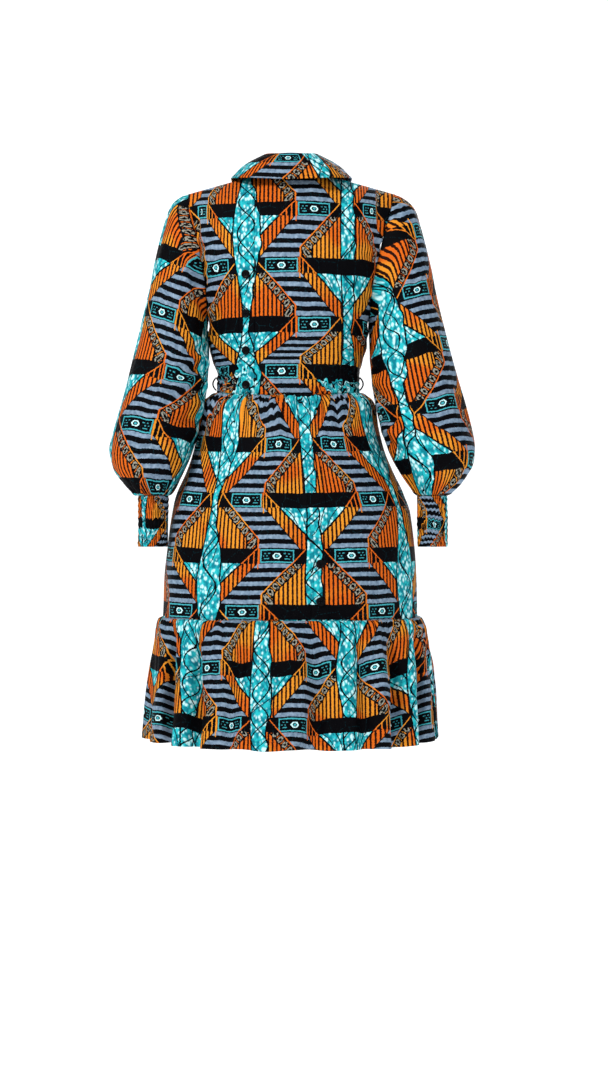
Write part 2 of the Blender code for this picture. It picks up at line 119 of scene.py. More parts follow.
FLOUNCE = (
    Section(-0.763, 0.002, 0.2245, 1.00, 0.182, 0.163),
    Section(-0.775, 0.001, 0.2300, 1.00, 0.188, 0.168),
    Section(-0.812, 0.000, 0.2384, 1.00, 0.196, 0.176),
    Section(-0.861, -0.001, 0.2475, 1.00, 0.204, 0.184),
    Section(-0.973, 0.000, 0.2594, 1.00, 0.214, 0.196),
)
Fold = namedtuple("Fold", "angle width depth")
SKIRT_FOLDS = (
    Fold(-128, 12, 0.007),
    Fold(-84, 10, 0.004),
    Fold(-48, 12, 0.005),
    Fold(-28, 10, -0.004),
    Fold(18, 12, 0.004),
    Fold(44, 12, 0.006),
    Fold(80, 10, 0.005),
    Fold(118, 11, 0.007),
    Fold(158, 12, 0.006),
    Fold(-165, 12, 0.007),
)
FLOUNCE_FOLDS = (
    Fold(-167, 7, 0.014),
    Fold(-146, 6, 0.011),
    Fold(-124, 7, 0.016),
    Fold(-101, 6, 0.012),
    Fold(-80, 6, 0.013),
    Fold(-62, 6, 0.020),
    Fold(-43, 6, 0.013),
    Fold(-25, 7, 0.009),
    Fold(-5, 7, 0.013),
    Fold(20, 8, 0.009),
    Fold(39, 6, 0.016),
    Fold(56, 6, 0.022),
    Fold(76, 6, 0.012),
    Fold(97, 7, 0.013),
    Fold(119, 6, 0.015),
    Fold(141, 7, 0.011),
    Fold(163, 6, 0.014),
)
Ring = namedtuple("Ring", "outer outer_height inner inner_height middle half_depth")
SLEEVE = (
    Ring(0.2080, -0.045, 0.1410, -0.263, 0.002, 0.062),
    Ring(0.2225, -0.080, 0.1410, -0.266, 0.003, 0.066),
    Ring(0.2395, -0.149, 0.1405, -0.274, 0.005, 0.068),
    Ring(0.2490, -0.192, 0.1400, -0.287, 0.009, 0.069),
    Ring(0.2686, -0.280, 0.1405, -0.322, 0.020, 0.071),
    Ring(0.2860, -0.352, 0.1450, -0.378, 0.036, 0.073),
    Ring(0.2995, -0.414, 0.1555, -0.434, 0.050, 0.074),
    Ring(0.3085, -0.455, 0.1660, -0.470, 0.057, 0.073),
    Ring(0.3118, -0.480, 0.1750, -0.492, 0.059, 0.069),
    Ring(0.3075, -0.504, 0.1850, -0.511, 0.060, 0.062),
    Ring(0.2966, -0.522, 0.1945, -0.526, 0.060, 0.052),
    Ring(0.2787, -0.540, 0.2055, -0.542, 0.060, 0.040),
    Ring(0.2655, -0.5535, 0.2125, -0.5535, 0.060, 0.031),
)
CUFF = (
    Ring(0.2645, -0.5550, 0.2135, -0.5550, 0.060, 0.031),
    Ring(0.2650, -0.6405, 0.2145, -0.6405, 0.060, 0.030),
)
Leaf = namedtuple("Leaf", "angle fold_x fold_y fold_z edge_x edge_y edge_z")
COLLAR = (
    Leaf(0, 0.000, 0.053, 0.034, 0.000, 0.088, -0.016),
    Leaf(30, 0.026, 0.047, 0.036, 0.054, 0.078, -0.012),
    Leaf(60, 0.045, 0.028, 0.039, 0.090, 0.050, -0.006),
    Leaf(90, 0.052, 0.000, 0.040, 0.105, 0.004, 0.001),
    Leaf(120, 0.046, -0.030, 0.028, 0.095, -0.050, -0.016),
    Leaf(150, 0.027, -0.052, 0.000, 0.074, -0.090, -0.054),
    Leaf(172, 0.006, -0.062, -0.024, 0.050, -0.116, -0.096),
)
COLLAR_ROLL = 0.005
COLLAR_CLEAR = 0.0048
BAND_INSET = 0.0022
BAND_DROP = 0.0020
BAND_CLEAR = 0.0016

# The back of the skirt and flounce and their front meet at the side seams, at these angles.
BACK_ANGLE = 89.97
FRONT_ANGLES = (90.03, 269.97)
BODY_MIDDLE = 0.006
SKIRT_ROWS = 118

# Gathers: the spacing of each size of fold, how far from the seam it begins and ends, and its share.
GATHER_FOLDS = (
    (0.0115, 0.003, 0.040, 0.80),
    (0.0200, 0.007, 0.085, 1.00),
    (0.0430, 0.025, 0.170, 0.90),
)
FLOUNCE_FULLNESS = 1.075
FOLD_TAKE = 1.5
CREASE_HALF = 2.6
CREASE_GAIN = 1.35

# Edges: each step of a turned edge is how far along the cloth and how far behind it.
SEAM_TUCK = ((0.0008, 0.0008), (0.0, 0.004))
HEM_TUCK = ((0.0006, 0.0006), (-0.0006, 0.0010), (-0.014, 0.0002))
COLLAR_TUCK = ((0.0005, 0.0006), (-0.0004, 0.0008), (-0.006, 0.0003))
COLLAR_FOLD_TUCK = ((0.0004, 0.0004), (0.0, 0.0030))
CUFF_TUCK = ((0.0, 0.0012), (0.0, 0.0022))
STAND_FOLD = ((0.0004, 0.0005), (0.0, 0.0010))
STAND_LIFT = 0.0018
Seam = namedtuple("Seam", "along fixed first last")
THREAD_RADIUS = 0.00026
SEW_STEPS = 500

# A button: radius and height at each turn of its profile, then its holes and the thread through them.
BUTTON_PROFILE = (
    (0.0, 0.0017),
    (0.0030, 0.0017),
    (0.0046, 0.0020),
    (0.0056, 0.0026),
    (0.0066, 0.0027),
    (0.0072, 0.0023),
    (0.0074, 0.0016),
    (0.0071, 0.0007),
    (0.0060, 0.0001),
    (0.0, 0.0),
)
BUTTON_RISE = 0.001
BUTTON_STEPS = 40
HOLE_AWAY = 0.0019
HOLE_RADIUS = 0.00062
HOLE_DEPTH = 0.006
STRAND_RADIUS = 0.00024
STRAND_LENGTH = 0.0038
STRAND_APART = 0.00022
STRAND_HEIGHT = 0.00185
STRAND_OVER = 0.0002
PLY_SHARE = 1.2
PLY_APART = 0.65
PLY_TURNS = 9

# The print, in chart units. Columns of turquoise stand side by side, and each is half a repeat lower or
# higher than its neighbours. CHART is one unit on the flat cloth.
CHART = 0.00168
COLUMN_GAP = 105.0
REPEAT = 114.4
HALF_REPEAT = REPEAT / 2
BAR = 15.5
STRIPE_STEP = 9.2
CHAIN_STEP = 7.4
BEADED = 12.6
HEAD_REACH = 49.0
BAND_REACH = 49.5
PLAQUE_AWAY = 36.0
PLAQUE_DOWN = 7.7
PLAQUE_ENDS = (19.6, 52.4)
BLEED = 1.3
# How far down the chart the odd column of the flounce swells.
SWOLLEN = 7 * REPEAT + 7.0
WEAVE_PITCH = 0.00042

# Where the print starts on each panel: u is the length from the middle of a panel to the middle of a
# column, or for a sleeve the turn round it, v the height of the head of a bar in that column, or for a
# sleeve the length down to it, and stretch how long a chart unit comes out upright.
Start = namedtuple("Start", "u v stretch")
SKIRT_PRINT = Start(-0.0395, -0.5463, 0.001656)
BODICE_PRINT = Start(0.0765, -0.0547, 0.001722)
SLEEVE_PRINT = {
    1: Start(math.radians(164), 0.289, 0.00174),
    -1: Start(math.radians(116), 0.376, 0.00174),
}
FLOUNCE_COLUMN_ANGLE = 9.1
SLEEVE_TILT = math.radians(20)
SLEEVE_ROUND = 0.070
TILTED_ROWS = 5

FLOOR_HEIGHT = -1.54
CAMERA_DISTANCE = 3.0
CAMERA_X = -0.022
CAMERA_HEIGHT = -0.63
VIEW_HEIGHT = 1.89
SENSOR = 36
LAMPS = (
    ("key", (1.7, 2.0, 1.7), 0.9, 96),
    ("fill", (-2.2, 2.2, 0.4), 1.6, 26),
    ("front", (-0.6, -3.0, 1.4), 2.0, 60),
)
LAMP_AIM = Vector((0, 0, -0.5))
SKY_STRENGTH = 0.46
SKY_COLOUR = (0.97, 0.98, 1.0, 1)
PAPER_GLOW = 0.50


def read(table, place):
    """The row that a table has at any place, on a curve that never passes its own rows."""
    rows = table if table[0][0] < table[-1][0] else table[::-1]
    if place <= rows[0][0]:
        return rows[0]
    if place >= rows[-1][0]:
        return rows[-1]
    after = next(index for index, row in enumerate(rows) if row[0] > place)
    low, high = rows[after - 1], rows[after]
    span = high[0] - low[0]
    share = (place - low[0]) / span
    values = [place]
    for column in range(1, len(low)):
        slope = (high[column] - low[column]) / span
        start, end = slope, slope
        if after >= 2:
            start = easy_slope(rows[after - 2], low, column, slope)
        if after + 1 < len(rows):
            end = easy_slope(high, rows[after + 1], column, slope)
        values.append(hermite(low[column], high[column], start * span, end * span, share))
    return type(low)(*values)


def easy_slope(low, high, column, slope):
    """The slope at a row between two stretches: none at a peak, else between the two slopes."""
    other = (high[column] - low[column]) / (high[0] - low[0])
    if other * slope <= 0:
        return 0.0
    return 2 * other * slope / (other + slope)


def hermite(start, end, start_slope, end_slope, share):
    square, cube = share**2, share**3
    return (
        (2 * cube - 3 * square + 1) * start
        + (cube - 2 * square + share) * start_slope
        + (3 * square - 2 * cube) * end
        + (cube - square) * end_slope
    )


def mix(start, end, share):
    return start + (end - start) * share


def ease(low, high, value):
    """0 below low, 1 above high and a smooth step between; it falls where low is the higher."""
    share = min(1.0, max(0.0, (value - low) / (high - low)))
    return share * share * (3 - 2 * share)


def oval(share):
    return max(0.0, 1 - abs(share) ** SQUARENESS) ** (1 / SQUARENESS)


def shoulder_line(x):
    if abs(x) < NECK_HALF:
        return NECK_HEIGHT + (NECK_HALF - abs(x)) * NECK_RISE
    share = (abs(x) - NECK_HALF) / (SHOULDER_HALF - NECK_HALF)
    return mix(NECK_HEIGHT, SHOULDER_HEIGHT, share)


def top_edge(across, side):
    neck = NECK_HALF / SHOULDER_HALF
    if abs(across) >= neck:
        return shoulder_line(across * SHOULDER_HALF)
    drop = BACK_NECK_DROP if side > 0 else FRONT_NECK_DROP
    return NECK_HEIGHT - drop * (1 - (across / neck) ** 2)


def torso_depth(x, height, side):
    """Y of the bodice at a place: side is 1 for the back and -1 for the front."""
    section = read(BODICE, height)
    deep = section.back if side > 0 else section.front
    full = deep * oval((x - section.centre) / (section.half_width * section.reach))
    below = min(1.0, max(0.0, (shoulder_line(x) - height) / SHOULDER_ROUND))
    return side * full * math.sqrt(1 - (1 - below) ** 2)


def down_share(down):
    if down <= ARM_SHARE:
        return UNDERARM_SHARE * (1 - math.cos(math.pi * down / ARM_SHARE)) / 2
    return mix(UNDERARM_SHARE, 1, (down - ARM_SHARE) / (1 - ARM_SHARE))


def row_height(across, down, side):
    top = top_edge(across, side)
    waist = WAIST_HEIGHT - WAIST_DIP * (1 - across**2) * (side > 0)
    return mix(top, waist + SEAM, down_share(down))


def torso_point(across, down, side):
    height = row_height(across, down, side)
    section = read(BODICE, height)
    x = section.centre + across * section.half_width
    return Vector((x, torso_depth(x, height, side) + side * SEAM, height))


def back_point(edge, under, out, down):
    """A point of a back panel: under runs across the half of the button stand that lies on it, and out
    from there to its armhole or side."""
    inner_x = BODICE_STAND_X + edge * under * STAND_WIDTH / 2
    height = row_height(mix(inner_x / SHOULDER_HALF, edge, out), down, 1)
    section = read(BODICE, height)
    x = mix(inner_x, section.centre + edge * section.half_width, out)
    return Vector((x, torso_depth(x, height, 1) + SEAM, height))


def fold_depth(folds, angle):
    total = 0.0
    for fold in folds:
        away = (angle - fold.angle + 180) % 360 - 180
        total += fold.depth * math.exp(-((away / fold.width) ** 2))
    return total


def skirt_point(table, folds, angle, height):
    """A point of the skirt or the flounce, at an angle round it and a nominal height."""
    section = read(table, height)
    turn = math.radians(angle)
    wide, deep = math.sin(turn), math.cos(turn)
    half_depth = section.back if deep > 0 else section.front
    power = 2 / SQUARENESS
    x = section.centre + section.half_width * math.copysign(abs(wide) ** power, wide)
    y = half_depth * math.copysign(abs(deep) ** power, deep)
    top, bottom = table[0].height, table[-1].height
    share = (height - top) / (bottom - top)
    inward = fold_depth(folds, angle) * share
    if table is FLOUNCE:
        inward += fold_depth(SKIRT_FOLDS, angle) * (1 - share)
    dip = WAIST_DIP * max(0.0, deep) ** 2 * (1 - share) if table is SKIRT else 0.0
    out = Vector((wide * half_depth, deep * section.half_width, 0)).normalized()
    return Vector((x, y, height - dip)) - out * inward


def armhole_point(turn, side_x):
    side = 1 if turn <= math.pi else -1
    turn = min(turn, 2 * math.pi - turn)
    return torso_point(side_x, ARM_SHARE * turn / math.pi, side)


def ring_point(ring, turn, side_x, inner_shift):
    outer = Vector((side_x * ring.outer + SLEEVE_SHIFT, ring.middle, ring.outer_height))
    inner = Vector((side_x * ring.inner + inner_shift, ring.middle, ring.inner_height))
    point = (outer + inner) / 2 + (outer - inner) / 2 * math.cos(turn)
    point.y += ring.half_depth * math.sin(turn)
    return point


def sleeve_ring(row, turn, side_x):
    if row == 0:
        point = armhole_point(turn, side_x)
        off = 0.0011 + 0.0006 * (1 - math.cos(turn)) + 0.0006 * math.sin(turn) ** 2
        return point + Vector((side_x * off, 0, 0))
    ring = SLEEVE[row - 1]
    centre = read(BODICE, max(ring.inner_height, WAIST_HEIGHT)).centre
    fade = 1 - (row - 1) / (len(SLEEVE) - 1)
    return ring_point(ring, turn, side_x, mix(SLEEVE_SHIFT, centre, fade))


def collar_line(around):
    side_x = math.copysign(1, around)
    leaf = read(COLLAR, abs(around) * COLLAR[-1].angle)
    fold = Vector((side_x * leaf.fold_x, leaf.fold_y, leaf.fold_z))
    edge = Vector((side_x * leaf.edge_x, leaf.edge_y, leaf.edge_z))
    return fold, edge


def collar_point(around, down):
    fold, edge = collar_line(around)
    point = fold.lerp(edge, down)
    out = Vector((point.x, point.y, 0)).normalized() + Vector((0, 0, 1))
    point += out.normalized() * COLLAR_ROLL * math.sin(math.pi * down)
    side = 1 if point.y > 0 else -1
    clear = abs(torso_depth(point.x, point.z, side)) + COLLAR_CLEAR
    if point.z < shoulder_line(point.x) and abs(point.y) < clear:
        point.y = side * clear
    return point


def neck_point(around):
    turn = around * math.radians(COLLAR[-1].angle)
    side = 1 if math.cos(turn) > 0 else -1
    across = math.sin(turn) * NECK_HALF / SHOULDER_HALF
    return torso_point(across, 0, side)


class Wire:
    """A socket of a shader on which sums are written as plain expressions."""

    def __init__(self, tree, socket=None):
        self.tree = tree
        self.socket = socket

    def node(self, kind, settings=None, values=None, out=0):
        """Adds a node: its settings come first, then values or wires into its sockets."""
        made = self.tree.nodes.new("ShaderNode" + kind)
        for key, value in (settings or {}).items():
            if key != "stops":
                setattr(made, key, value)
                continue
            while len(made.color_ramp.elements) < len(value):
                made.color_ramp.elements.new(0.5)
            for element, (position, colour) in zip(made.color_ramp.elements, value):
                element.position = position
                element.color = (*colour, 1)
        for key, value in (values or {}).items():
            if isinstance(value, Wire):
                self.tree.links.new(value.socket, made.inputs[key])
            else:
                made.inputs[key].default_value = value
        return Wire(self.tree, made.outputs[out])

    def maths(self, operation, *values):
        return self.node("Math", {"operation": operation}, dict(enumerate(values)))

    def __add__(self, other):
        return self.maths("ADD", self, other)

    __radd__ = __add__

    def __mul__(self, other):
        return self.maths("MULTIPLY", self, other)

    __rmul__ = __mul__

    def __sub__(self, other):
        return self.maths("SUBTRACT", self, other)

    def __rsub__(self, other):
        return self.maths("SUBTRACT", other, self)

    def __truediv__(self, other):
        return self.maths("DIVIDE", self, other)

    def __gt__(self, other):
        return self.maths("GREATER_THAN", self, other)

    def __lt__(self, other):
        return self.maths("LESS_THAN", self, other)

    def __abs__(self):
        return self.maths("ABSOLUTE", self)

    def cosine(self):
        return self.maths("COSINE", self)

    def root(self):
        return self.maths("SQRT", self)

    def fraction(self):
        return self.maths("FRACT", self)

    def floor(self):
        return self.maths("FLOOR", self)

    def sine(self):
        return self.maths("SINE", self)

    def least(self, other):
        return self.maths("MINIMUM", self, other)

    def most(self, other):
        return self.maths("MAXIMUM", self, other)

    def within(self, low, high):
        """1 where the value lies between two others."""
        return (self > low) * (self < high)

    def share(self):
        """The value kept between 0 and 1."""
        return self.most(0.0).least(1.0)

    def second(self):
        """The second output of the node that this wire leaves: Y beside X, or green beside red."""
        return Wire(self.tree, self.socket.node.outputs[1])

    def mottle(self, at, scale, detail, out=0):
        """Smooth noise over a flat place."""
        values = {"Vector": at, "Scale": scale, "Detail": detail}
        return self.node("TexNoise", {"noise_dimensions": "2D"}, values, out)

    def near(self, place, width):
        """1 where the value is within a width of a place: a drawn line."""
        return abs(self - place) < width

    def paint(self, under, over):
        """Lays one colour over another where this mask is 1."""
        values = {"Factor": self, "A": under, "B": over}
        made = self.tree.nodes.new("ShaderNodeMix")
        made.data_type = "RGBA"
        for key, value in values.items():
            socket = next(s for s in made.inputs if s.name == key and s.enabled)
            if isinstance(value, Wire):
                self.tree.links.new(value.socket, socket)
            else:
                socket.default_value = value if key == "Factor" else (*value, 1)
        return Wire(self.tree, next(s for s in made.outputs if s.enabled))


def linear(colour):
    """A colour as a screen shows it, turned into the light values that a shader takes."""
    return tuple(((c + 0.055) / 1.055) ** 2.4 if c > 0.04045 else c / 12.92 for c in colour)


def shader_of(name, rough, **constants):
    """A new material, its Principled shader and a wire to draw with."""
    made = bpy.data.materials.new(name)
    made.use_nodes = True
    shader = made.node_tree.nodes["Principled BSDF"]
    shader.inputs["Roughness"].default_value = rough
    for key, value in constants.items():
        shader.inputs[key.replace("_", " ")].default_value = value
    return made, shader, Wire(made.node_tree)


def stripes(place, spacing, width, dark, light):
    """Lines of the light colour at a spacing on the dark one, width being their share of it."""
    return ((place / spacing).fraction() < width).paint(dark, light)


def print_chart(u, v):
    """The places that the print's figures are drawn from: how far from its column's middle a spot lies,
    signed and not, how far down the column's own repeat, and whether the column is an odd one."""
    column = (u / COLUMN_GAP + 0.5).floor()
    across = u - column * COLUMN_GAP
    odd = (column * 0.5).fraction() * 2
    down = (v / REPEAT + odd * 0.5).fraction() * REPEAT
    return across, abs(across), down, odd


def turquoise_cloth(pen, u, v, ink, light, deep):
    """Mottled turquoise: many pale bubbles, taller than wide, on two blues."""
    spot = pen.node("CombineXYZ", values={"X": u / 4.1, "Y": v / 5.8})
    bubble = pen.node("TexVoronoi", {"voronoi_dimensions": "2D"}, {"Vector": spot, "Scale": 1.0})
    patch = pen.mottle(spot, 0.45, 1.0)
    tone = pen.mottle(spot, 0.9, 2.0)
    blue = ((tone - 0.40) * 5.0).share().paint(deep, ink)
    size = patch - 0.12
    return ((size - bubble) * 3.2).share().paint(blue, light)


def veins(across, v):
    """Dark branches that cross each other down a column."""
    sway = (v * (2 * math.pi / 47.0)).sine() * 8.5
    swing = (v * (2 * math.pi / 61.0) + 1.3).sine() * 9.5
    twig = (v / 19.0).fraction() * 15.0 - 9.0
    strands = (across + sway).near(0.0, 0.95).most((across - swing).near(0.0, 0.9))
    return strands.most((across - sway * 0.5 - twig).near(0.0, 0.6) * ((v / 38.0).fraction() < 0.5))


def plaque(across, down, black, teal, pale):
    """A small framed panel: a faceted ring in the middle and staggered dashes to each side of it."""
    p = abs(across)
    q = abs(down)
    frame_line = (p - 9.6).most(q).near(6.2, 0.62)
    colour = frame_line.paint(black, teal)
    facets = (q * 1.15).most(p * 0.78 + q * 0.55)
    colour = facets.near(2.8, 0.60).paint(colour, pale)
    colour = (facets < 1.3).paint(colour, teal)
    lower = down > 0.0
    first = p.near(7.6 + lower * 1.0, 1.0)
    second = p.near(11.6 - lower * 0.5, 0.8 + lower * 0.6)
    dashes = first.most(second) * q.near(2.7, 0.45)
    dots = p.near(9.7, 0.7).most(p.near(12.9, 0.5)) * (q < 0.55)
    return (dashes.most(dots) * 0.85).paint(colour, teal)


def chain_of_beads(along, across, twist, black, bead, orange):
    """Open rings strung along a slanting border, with orange ticks between them."""
    step = (along / CHAIN_STEP).fraction() * CHAIN_STEP - CHAIN_STEP / 2
    reach = (step * step / 6.6 + across * across / 13.0).root()
    rings = (reach < 1.0) * (reach > 0.46) * (twist > 0.44)
    colour = rings.paint(black, bead)
    ticks = abs(step).near(CHAIN_STEP / 2, 0.45) * (abs(across) < 3.0) * (twist < 0.56)
    return ticks.paint(colour, orange)


def wax_print(colours):
    """Waxed cotton with a printed chart of turquoise columns, barred panels and striped fields."""
    made, shader, pen = shader_of("wax_print", 0.62, Specular_IOR_Level=0.03)
    orange, amber, turquoise, deep, pale, blue, black, teal, grey, seam, bead = colours
    place = pen.node("UVMap", {"uv_map": UV_MAP})
    split = pen.node("SeparateXYZ", values={"Vector": place})
    split_v = split.second()
    flat = pen.node("CombineXYZ", values={"X": split / CHART, "Y": split_v / CHART})
    bleed = pen.node("SeparateColor", values={"Color": pen.mottle(flat, 0.55, 2.0, 1)})
    bleed_v = bleed.second()
    u = split / CHART + (bleed - 0.5) * BLEED
    v = split_v / CHART + (bleed_v - 0.5) * BLEED
    across, away, down, odd = print_chart(u, v)
    twist = pen.mottle(flat, 0.6, 1.0)

    # Fields of level stripes, which lie under everything.
    field = ((v / HALF_REPEAT).fraction() * HALF_REPEAT - BAR) / STRIPE_STEP
    shade = pen.mottle(flat, 0.25, 3.0)
    blues = ((shade - 0.35) * 2.5).share().paint(blue, grey)
    colour = (field.fraction() < 0.46).paint(black, blues)

    # Upright orange lines for bands and triangles, warmer in some places than in others.
    warm = pen.mottle(flat, 0.02, 1.0)
    oranges = ((warm - 0.46) * 9.0).share().paint(orange, amber)
    lined = stripes(across, 4.3, 0.55, seam, oranges)
    sparse = stripes(across, 5.2, 0.24, black, oranges)
    blot = turquoise_cloth(pen, u, v, turquoise, pale, deep)

    upper = down.within(BAR, HALF_REPEAT)
    slant = HEAD_REACH - down * 0.97
    edge = (BAND_REACH - (down - BAR) * 0.86).least(BAND_REACH)
    colour = (upper * away.within(slant, edge)).paint(colour, lined)
    colour = (upper * away.near(edge, 0.6)).paint(colour, black)
    triangle = upper * (away < slant)
    colour = triangle.paint(colour, blot)
    rays = (across * (1.0 + (down - BAR) * 0.05) / 14.0 + 0.4).fraction().near(0.5, 0.055)
    colour = (triangle * rays).paint(colour, black)
    colour = (upper * away.near(slant, 1.2)).paint(colour, black)

    row = down > HALF_REPEAT
    low = down > (HALF_REPEAT + BAR)
    long_side = (8.0 + (down - HALF_REPEAT) * 0.90).least(50.0)
    colour = (row * (1 - low)).paint(colour, black)
    framed = plaque(away - PLAQUE_AWAY, down - (HALF_REPEAT + PLAQUE_DOWN), black, teal, pale)
    colour = (row * (1 - low) * away.within(*PLAQUE_ENDS)).paint(colour, framed)
    colour = (low * (away < long_side)).paint(colour, lined)
    inside = long_side - away
    along = away * 0.72 + down * 0.69
    beads = chain_of_beads(along, (inside - 6.6) * 0.74, twist, black, bead, oranges)
    colour = (low * inside.within(0.0, BEADED)).paint(colour, beads)
    colour = (row * inside.near(0.0, 0.75)).paint(colour, oranges)
    short_side = 8.0 - (down - HALF_REPEAT) * 0.25
    colour = (row * (1 - low) * away.near(short_side, 0.6)).paint(colour, oranges)

    # The bar at the head of each repeat, with a lined corner at each end.
    head = down < BAR
    colour = head.paint(colour, black)
    colour = (head * (away > slant)).paint(colour, sparse)
    colour = (head * away.near(slant, 0.7)).paint(colour, oranges)
    colour = ((down < 21.0) * away.near(50.6, 0.6)).paint(colour, oranges)

    # The column itself, wide at the bar and narrow half way down.
    sway = pen.node("TexNoise", {"noise_dimensions": "1D"}, {"W": v / 26.0, "Scale": 1.0, "Detail": 1.0})
    swell = ((v + 19.0) * (2 * math.pi / 170.0)).cosine()
    reach = (5.4 - odd * 4.2) * (1.0 - (v > SWOLLEN - 100.0) * 0.6)
    wide = 9.4 - odd * 2.2 + swell * reach + (sway - 0.5) * 4.0
    blob = (1.0 - abs(v - SWOLLEN) / 52.0).share()
    wide = wide + blob * (3.0 - blob * 2.0) * blob * odd * 7.0
    middle = abs(across + (sway - 0.5) * 5.0)
    shown = 1 - head * odd
    column_cloth = veins(across, v + odd * 31.0).paint(blot, black)
    colour = ((middle < wide) * shown).paint(colour, column_cloth)
    colour = (middle.near(wide, 0.8) * shown).paint(colour, black)

    # Fine lines where the wax cracked and let the dye in.
    crack = pen.node(
        "TexVoronoi",
        {"voronoi_dimensions": "2D", "feature": "DISTANCE_TO_EDGE"},
        {"Vector": flat, "Scale": 0.06},
    )
    colour = ((crack < 0.008) * 0.16 * (twist > 0.5)).paint(colour, deep)
    made.node_tree.links.new(colour.socket, shader.inputs["Base Color"])

    rough = 0.58 + (shade - 0.5) * 0.25
    made.node_tree.links.new(rough.socket, shader.inputs["Roughness"])
    threads = weave(split, split_v)
    crease = pen.mottle(flat, 0.11, 3.0)
    bump = pen.node("Bump", None, {"Height": threads, "Distance": 0.00012, "Strength": 0.5})
    bump = pen.node("Bump", None, {"Height": crease, "Distance": 0.0022, "Strength": 0.5, "Normal": bump})
    made.node_tree.links.new(bump.socket, shader.inputs["Normal"])
    return made


def weave(u, v):
    """Height of a plain weave: warp over weft in turn."""
    turn = math.pi / WEAVE_PITCH
    return (u * turn).sine() * (v * turn).sine()


def plain_finish(name, colour, rough, grain, depth, **constants):
    """A single colour with a slight grain in its tone, gloss and surface."""
    made, shader, pen = shader_of(name, rough, **constants)
    place = pen.node("TexCoord", out=3)
    tone = pen.node("TexNoise", None, {"Vector": place, "Scale": grain, "Detail": 3.0})
    lighter = tuple(min(1.0, c * 1.7) for c in colour)
    shade = ((tone - 0.4) * 2.0).share().paint(colour, lighter)
    made.node_tree.links.new(shade.socket, shader.inputs["Base Color"])
    gloss = rough + (tone - 0.5) * 0.2
    made.node_tree.links.new(gloss.socket, shader.inputs["Roughness"])
    bump = pen.node("Bump", None, {"Height": tone, "Distance": depth, "Strength": 0.5})
    made.node_tree.links.new(bump.socket, shader.inputs["Normal"])
    return made


def paper_finish():
    """White studio paper that glows a little, so that its far side stays as pale as its near side."""
    made, shader, pen = shader_of("studio_paper", 0.95, Specular_IOR_Level=0.1)
    place = pen.node("TexCoord", out=3)
    grain = pen.node("TexNoise", None, {"Vector": place, "Scale": 400.0, "Detail": 2.0})
    shade = grain.paint((0.90, 0.905, 0.91), (0.93, 0.935, 0.94))
    made.node_tree.links.new(shade.socket, shader.inputs["Base Color"])
    shader.inputs["Emission Color"].default_value = (1, 1, 1, 1)
    shader.inputs["Emission Strength"].default_value = PAPER_GLOW
    return made


def wander(x, y=0.0, seed=0.0):
    """Smooth noise from -1 to 1."""
    return noise.noise(Vector((x, y, 7.31 * seed + 0.5)))


def gathers(along, below, seed):
    """How far gathered cloth stands out, from 0 to about 2, at a place along its seam and a distance from
    it: many small folds at the seam run together into fewer and wider ones."""
    total = 0.0
    for spacing, first, last, share in GATHER_FOLDS:
        drift = 1.1 * wander(along / spacing / 2.7, below / 0.07, seed + spacing)
        fold = abs(math.sin(math.pi * (along / spacing + drift))) ** 0.75
        strength = 0.6 + 0.75 * wander(along / spacing / 1.9, below / 0.12, seed + 3)
        length = last * (1 + 0.7 * wander(along / spacing / 1.3, 0, seed + 5))
        rise = ease(0, first, below)
        total += share * fold * max(0.0, strength) * rise * (1 - ease(first, length, below))
    return total


def outward(bm, centre):
    """Turns the faces to look away from a middle that each face's place gives."""
    bm.normal_update()
    total = 0.0
    for face in bm.faces:
        middle = face.calc_center_median()
        total += (middle - centre(middle)).dot(face.normal)
    if total < 0:
        bmesh.ops.reverse_faces(bm, faces=bm.faces)
    bm.normal_update()


def upright(point):
    return Vector((0, 0, point.z))


def piece_of(name, bm, finish, replaced=()):
    """An object from a bmesh: it rides on the body and takes the place of CAD nodes."""
    mesh = bpy.data.meshes.new(name)
    bm.to_mesh(mesh)
    bm.free()
    mesh.shade_smooth()
    made = bpy.data.objects.new(name, mesh)
    mesh.materials.append(finish)
    bpy.context.scene.collection.objects.link(made)
    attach(made, BODY)
    if replaced:
        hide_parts(*replaced)
    return made


def tuck(bm, edges, steps):
    """Turns edges of a panel in: each step is how far along the cloth and how far behind it."""
    sums = {}
    for edge in edges:
        face = edge.link_faces[0]
        away = ((edge.verts[0].co + edge.verts[1].co) / 2 - face.calc_center_median()).normalized()
        for vert in edge.verts:
            aways, normals = sums.get(vert, (Vector(), Vector()))
            sums[vert] = (aways + away, normals + face.normal)
    ways = {vert: (away.normalized(), normal.normalized()) for vert, (away, normal) in sums.items()}
    for on, behind in steps:
        here = {tuple(vert.co): way for vert, way in ways.items()}
        made = bmesh.ops.extrude_edge_only(bm, edges=edges)["geom"]
        ways = {item: here[tuple(item.co)] for item in made if isinstance(item, bmesh.types.BMVert)}
        for vert, (away, normal) in ways.items():
            vert.co += away * on - normal * behind
        edges = [e for e in bm.edges if e.is_boundary and e.verts[0] in ways and e.verts[1] in ways]
    bm.normal_update()


def on_cloth(place, relief, centre, across, down):
    """A place on a panel's raised face, and the way the cloth faces there."""
    step = 0.002
    beside = place(min(1, across + step), down) - place(max(0, across - step), down)
    below = place(across, min(1, down + step)) - place(across, max(0, down - step))
    point = place(across, down)
    facing = beside.cross(below).normalized()
    if facing.dot(point - centre(point)) < 0:
        facing.negate()
    sizes = bpy.context.scene.dress_sizes
    lift = relief(across, down, point) * sizes.fold_depth if relief else 0.0
    return point + facing * (lift + sizes.cloth / 2), facing


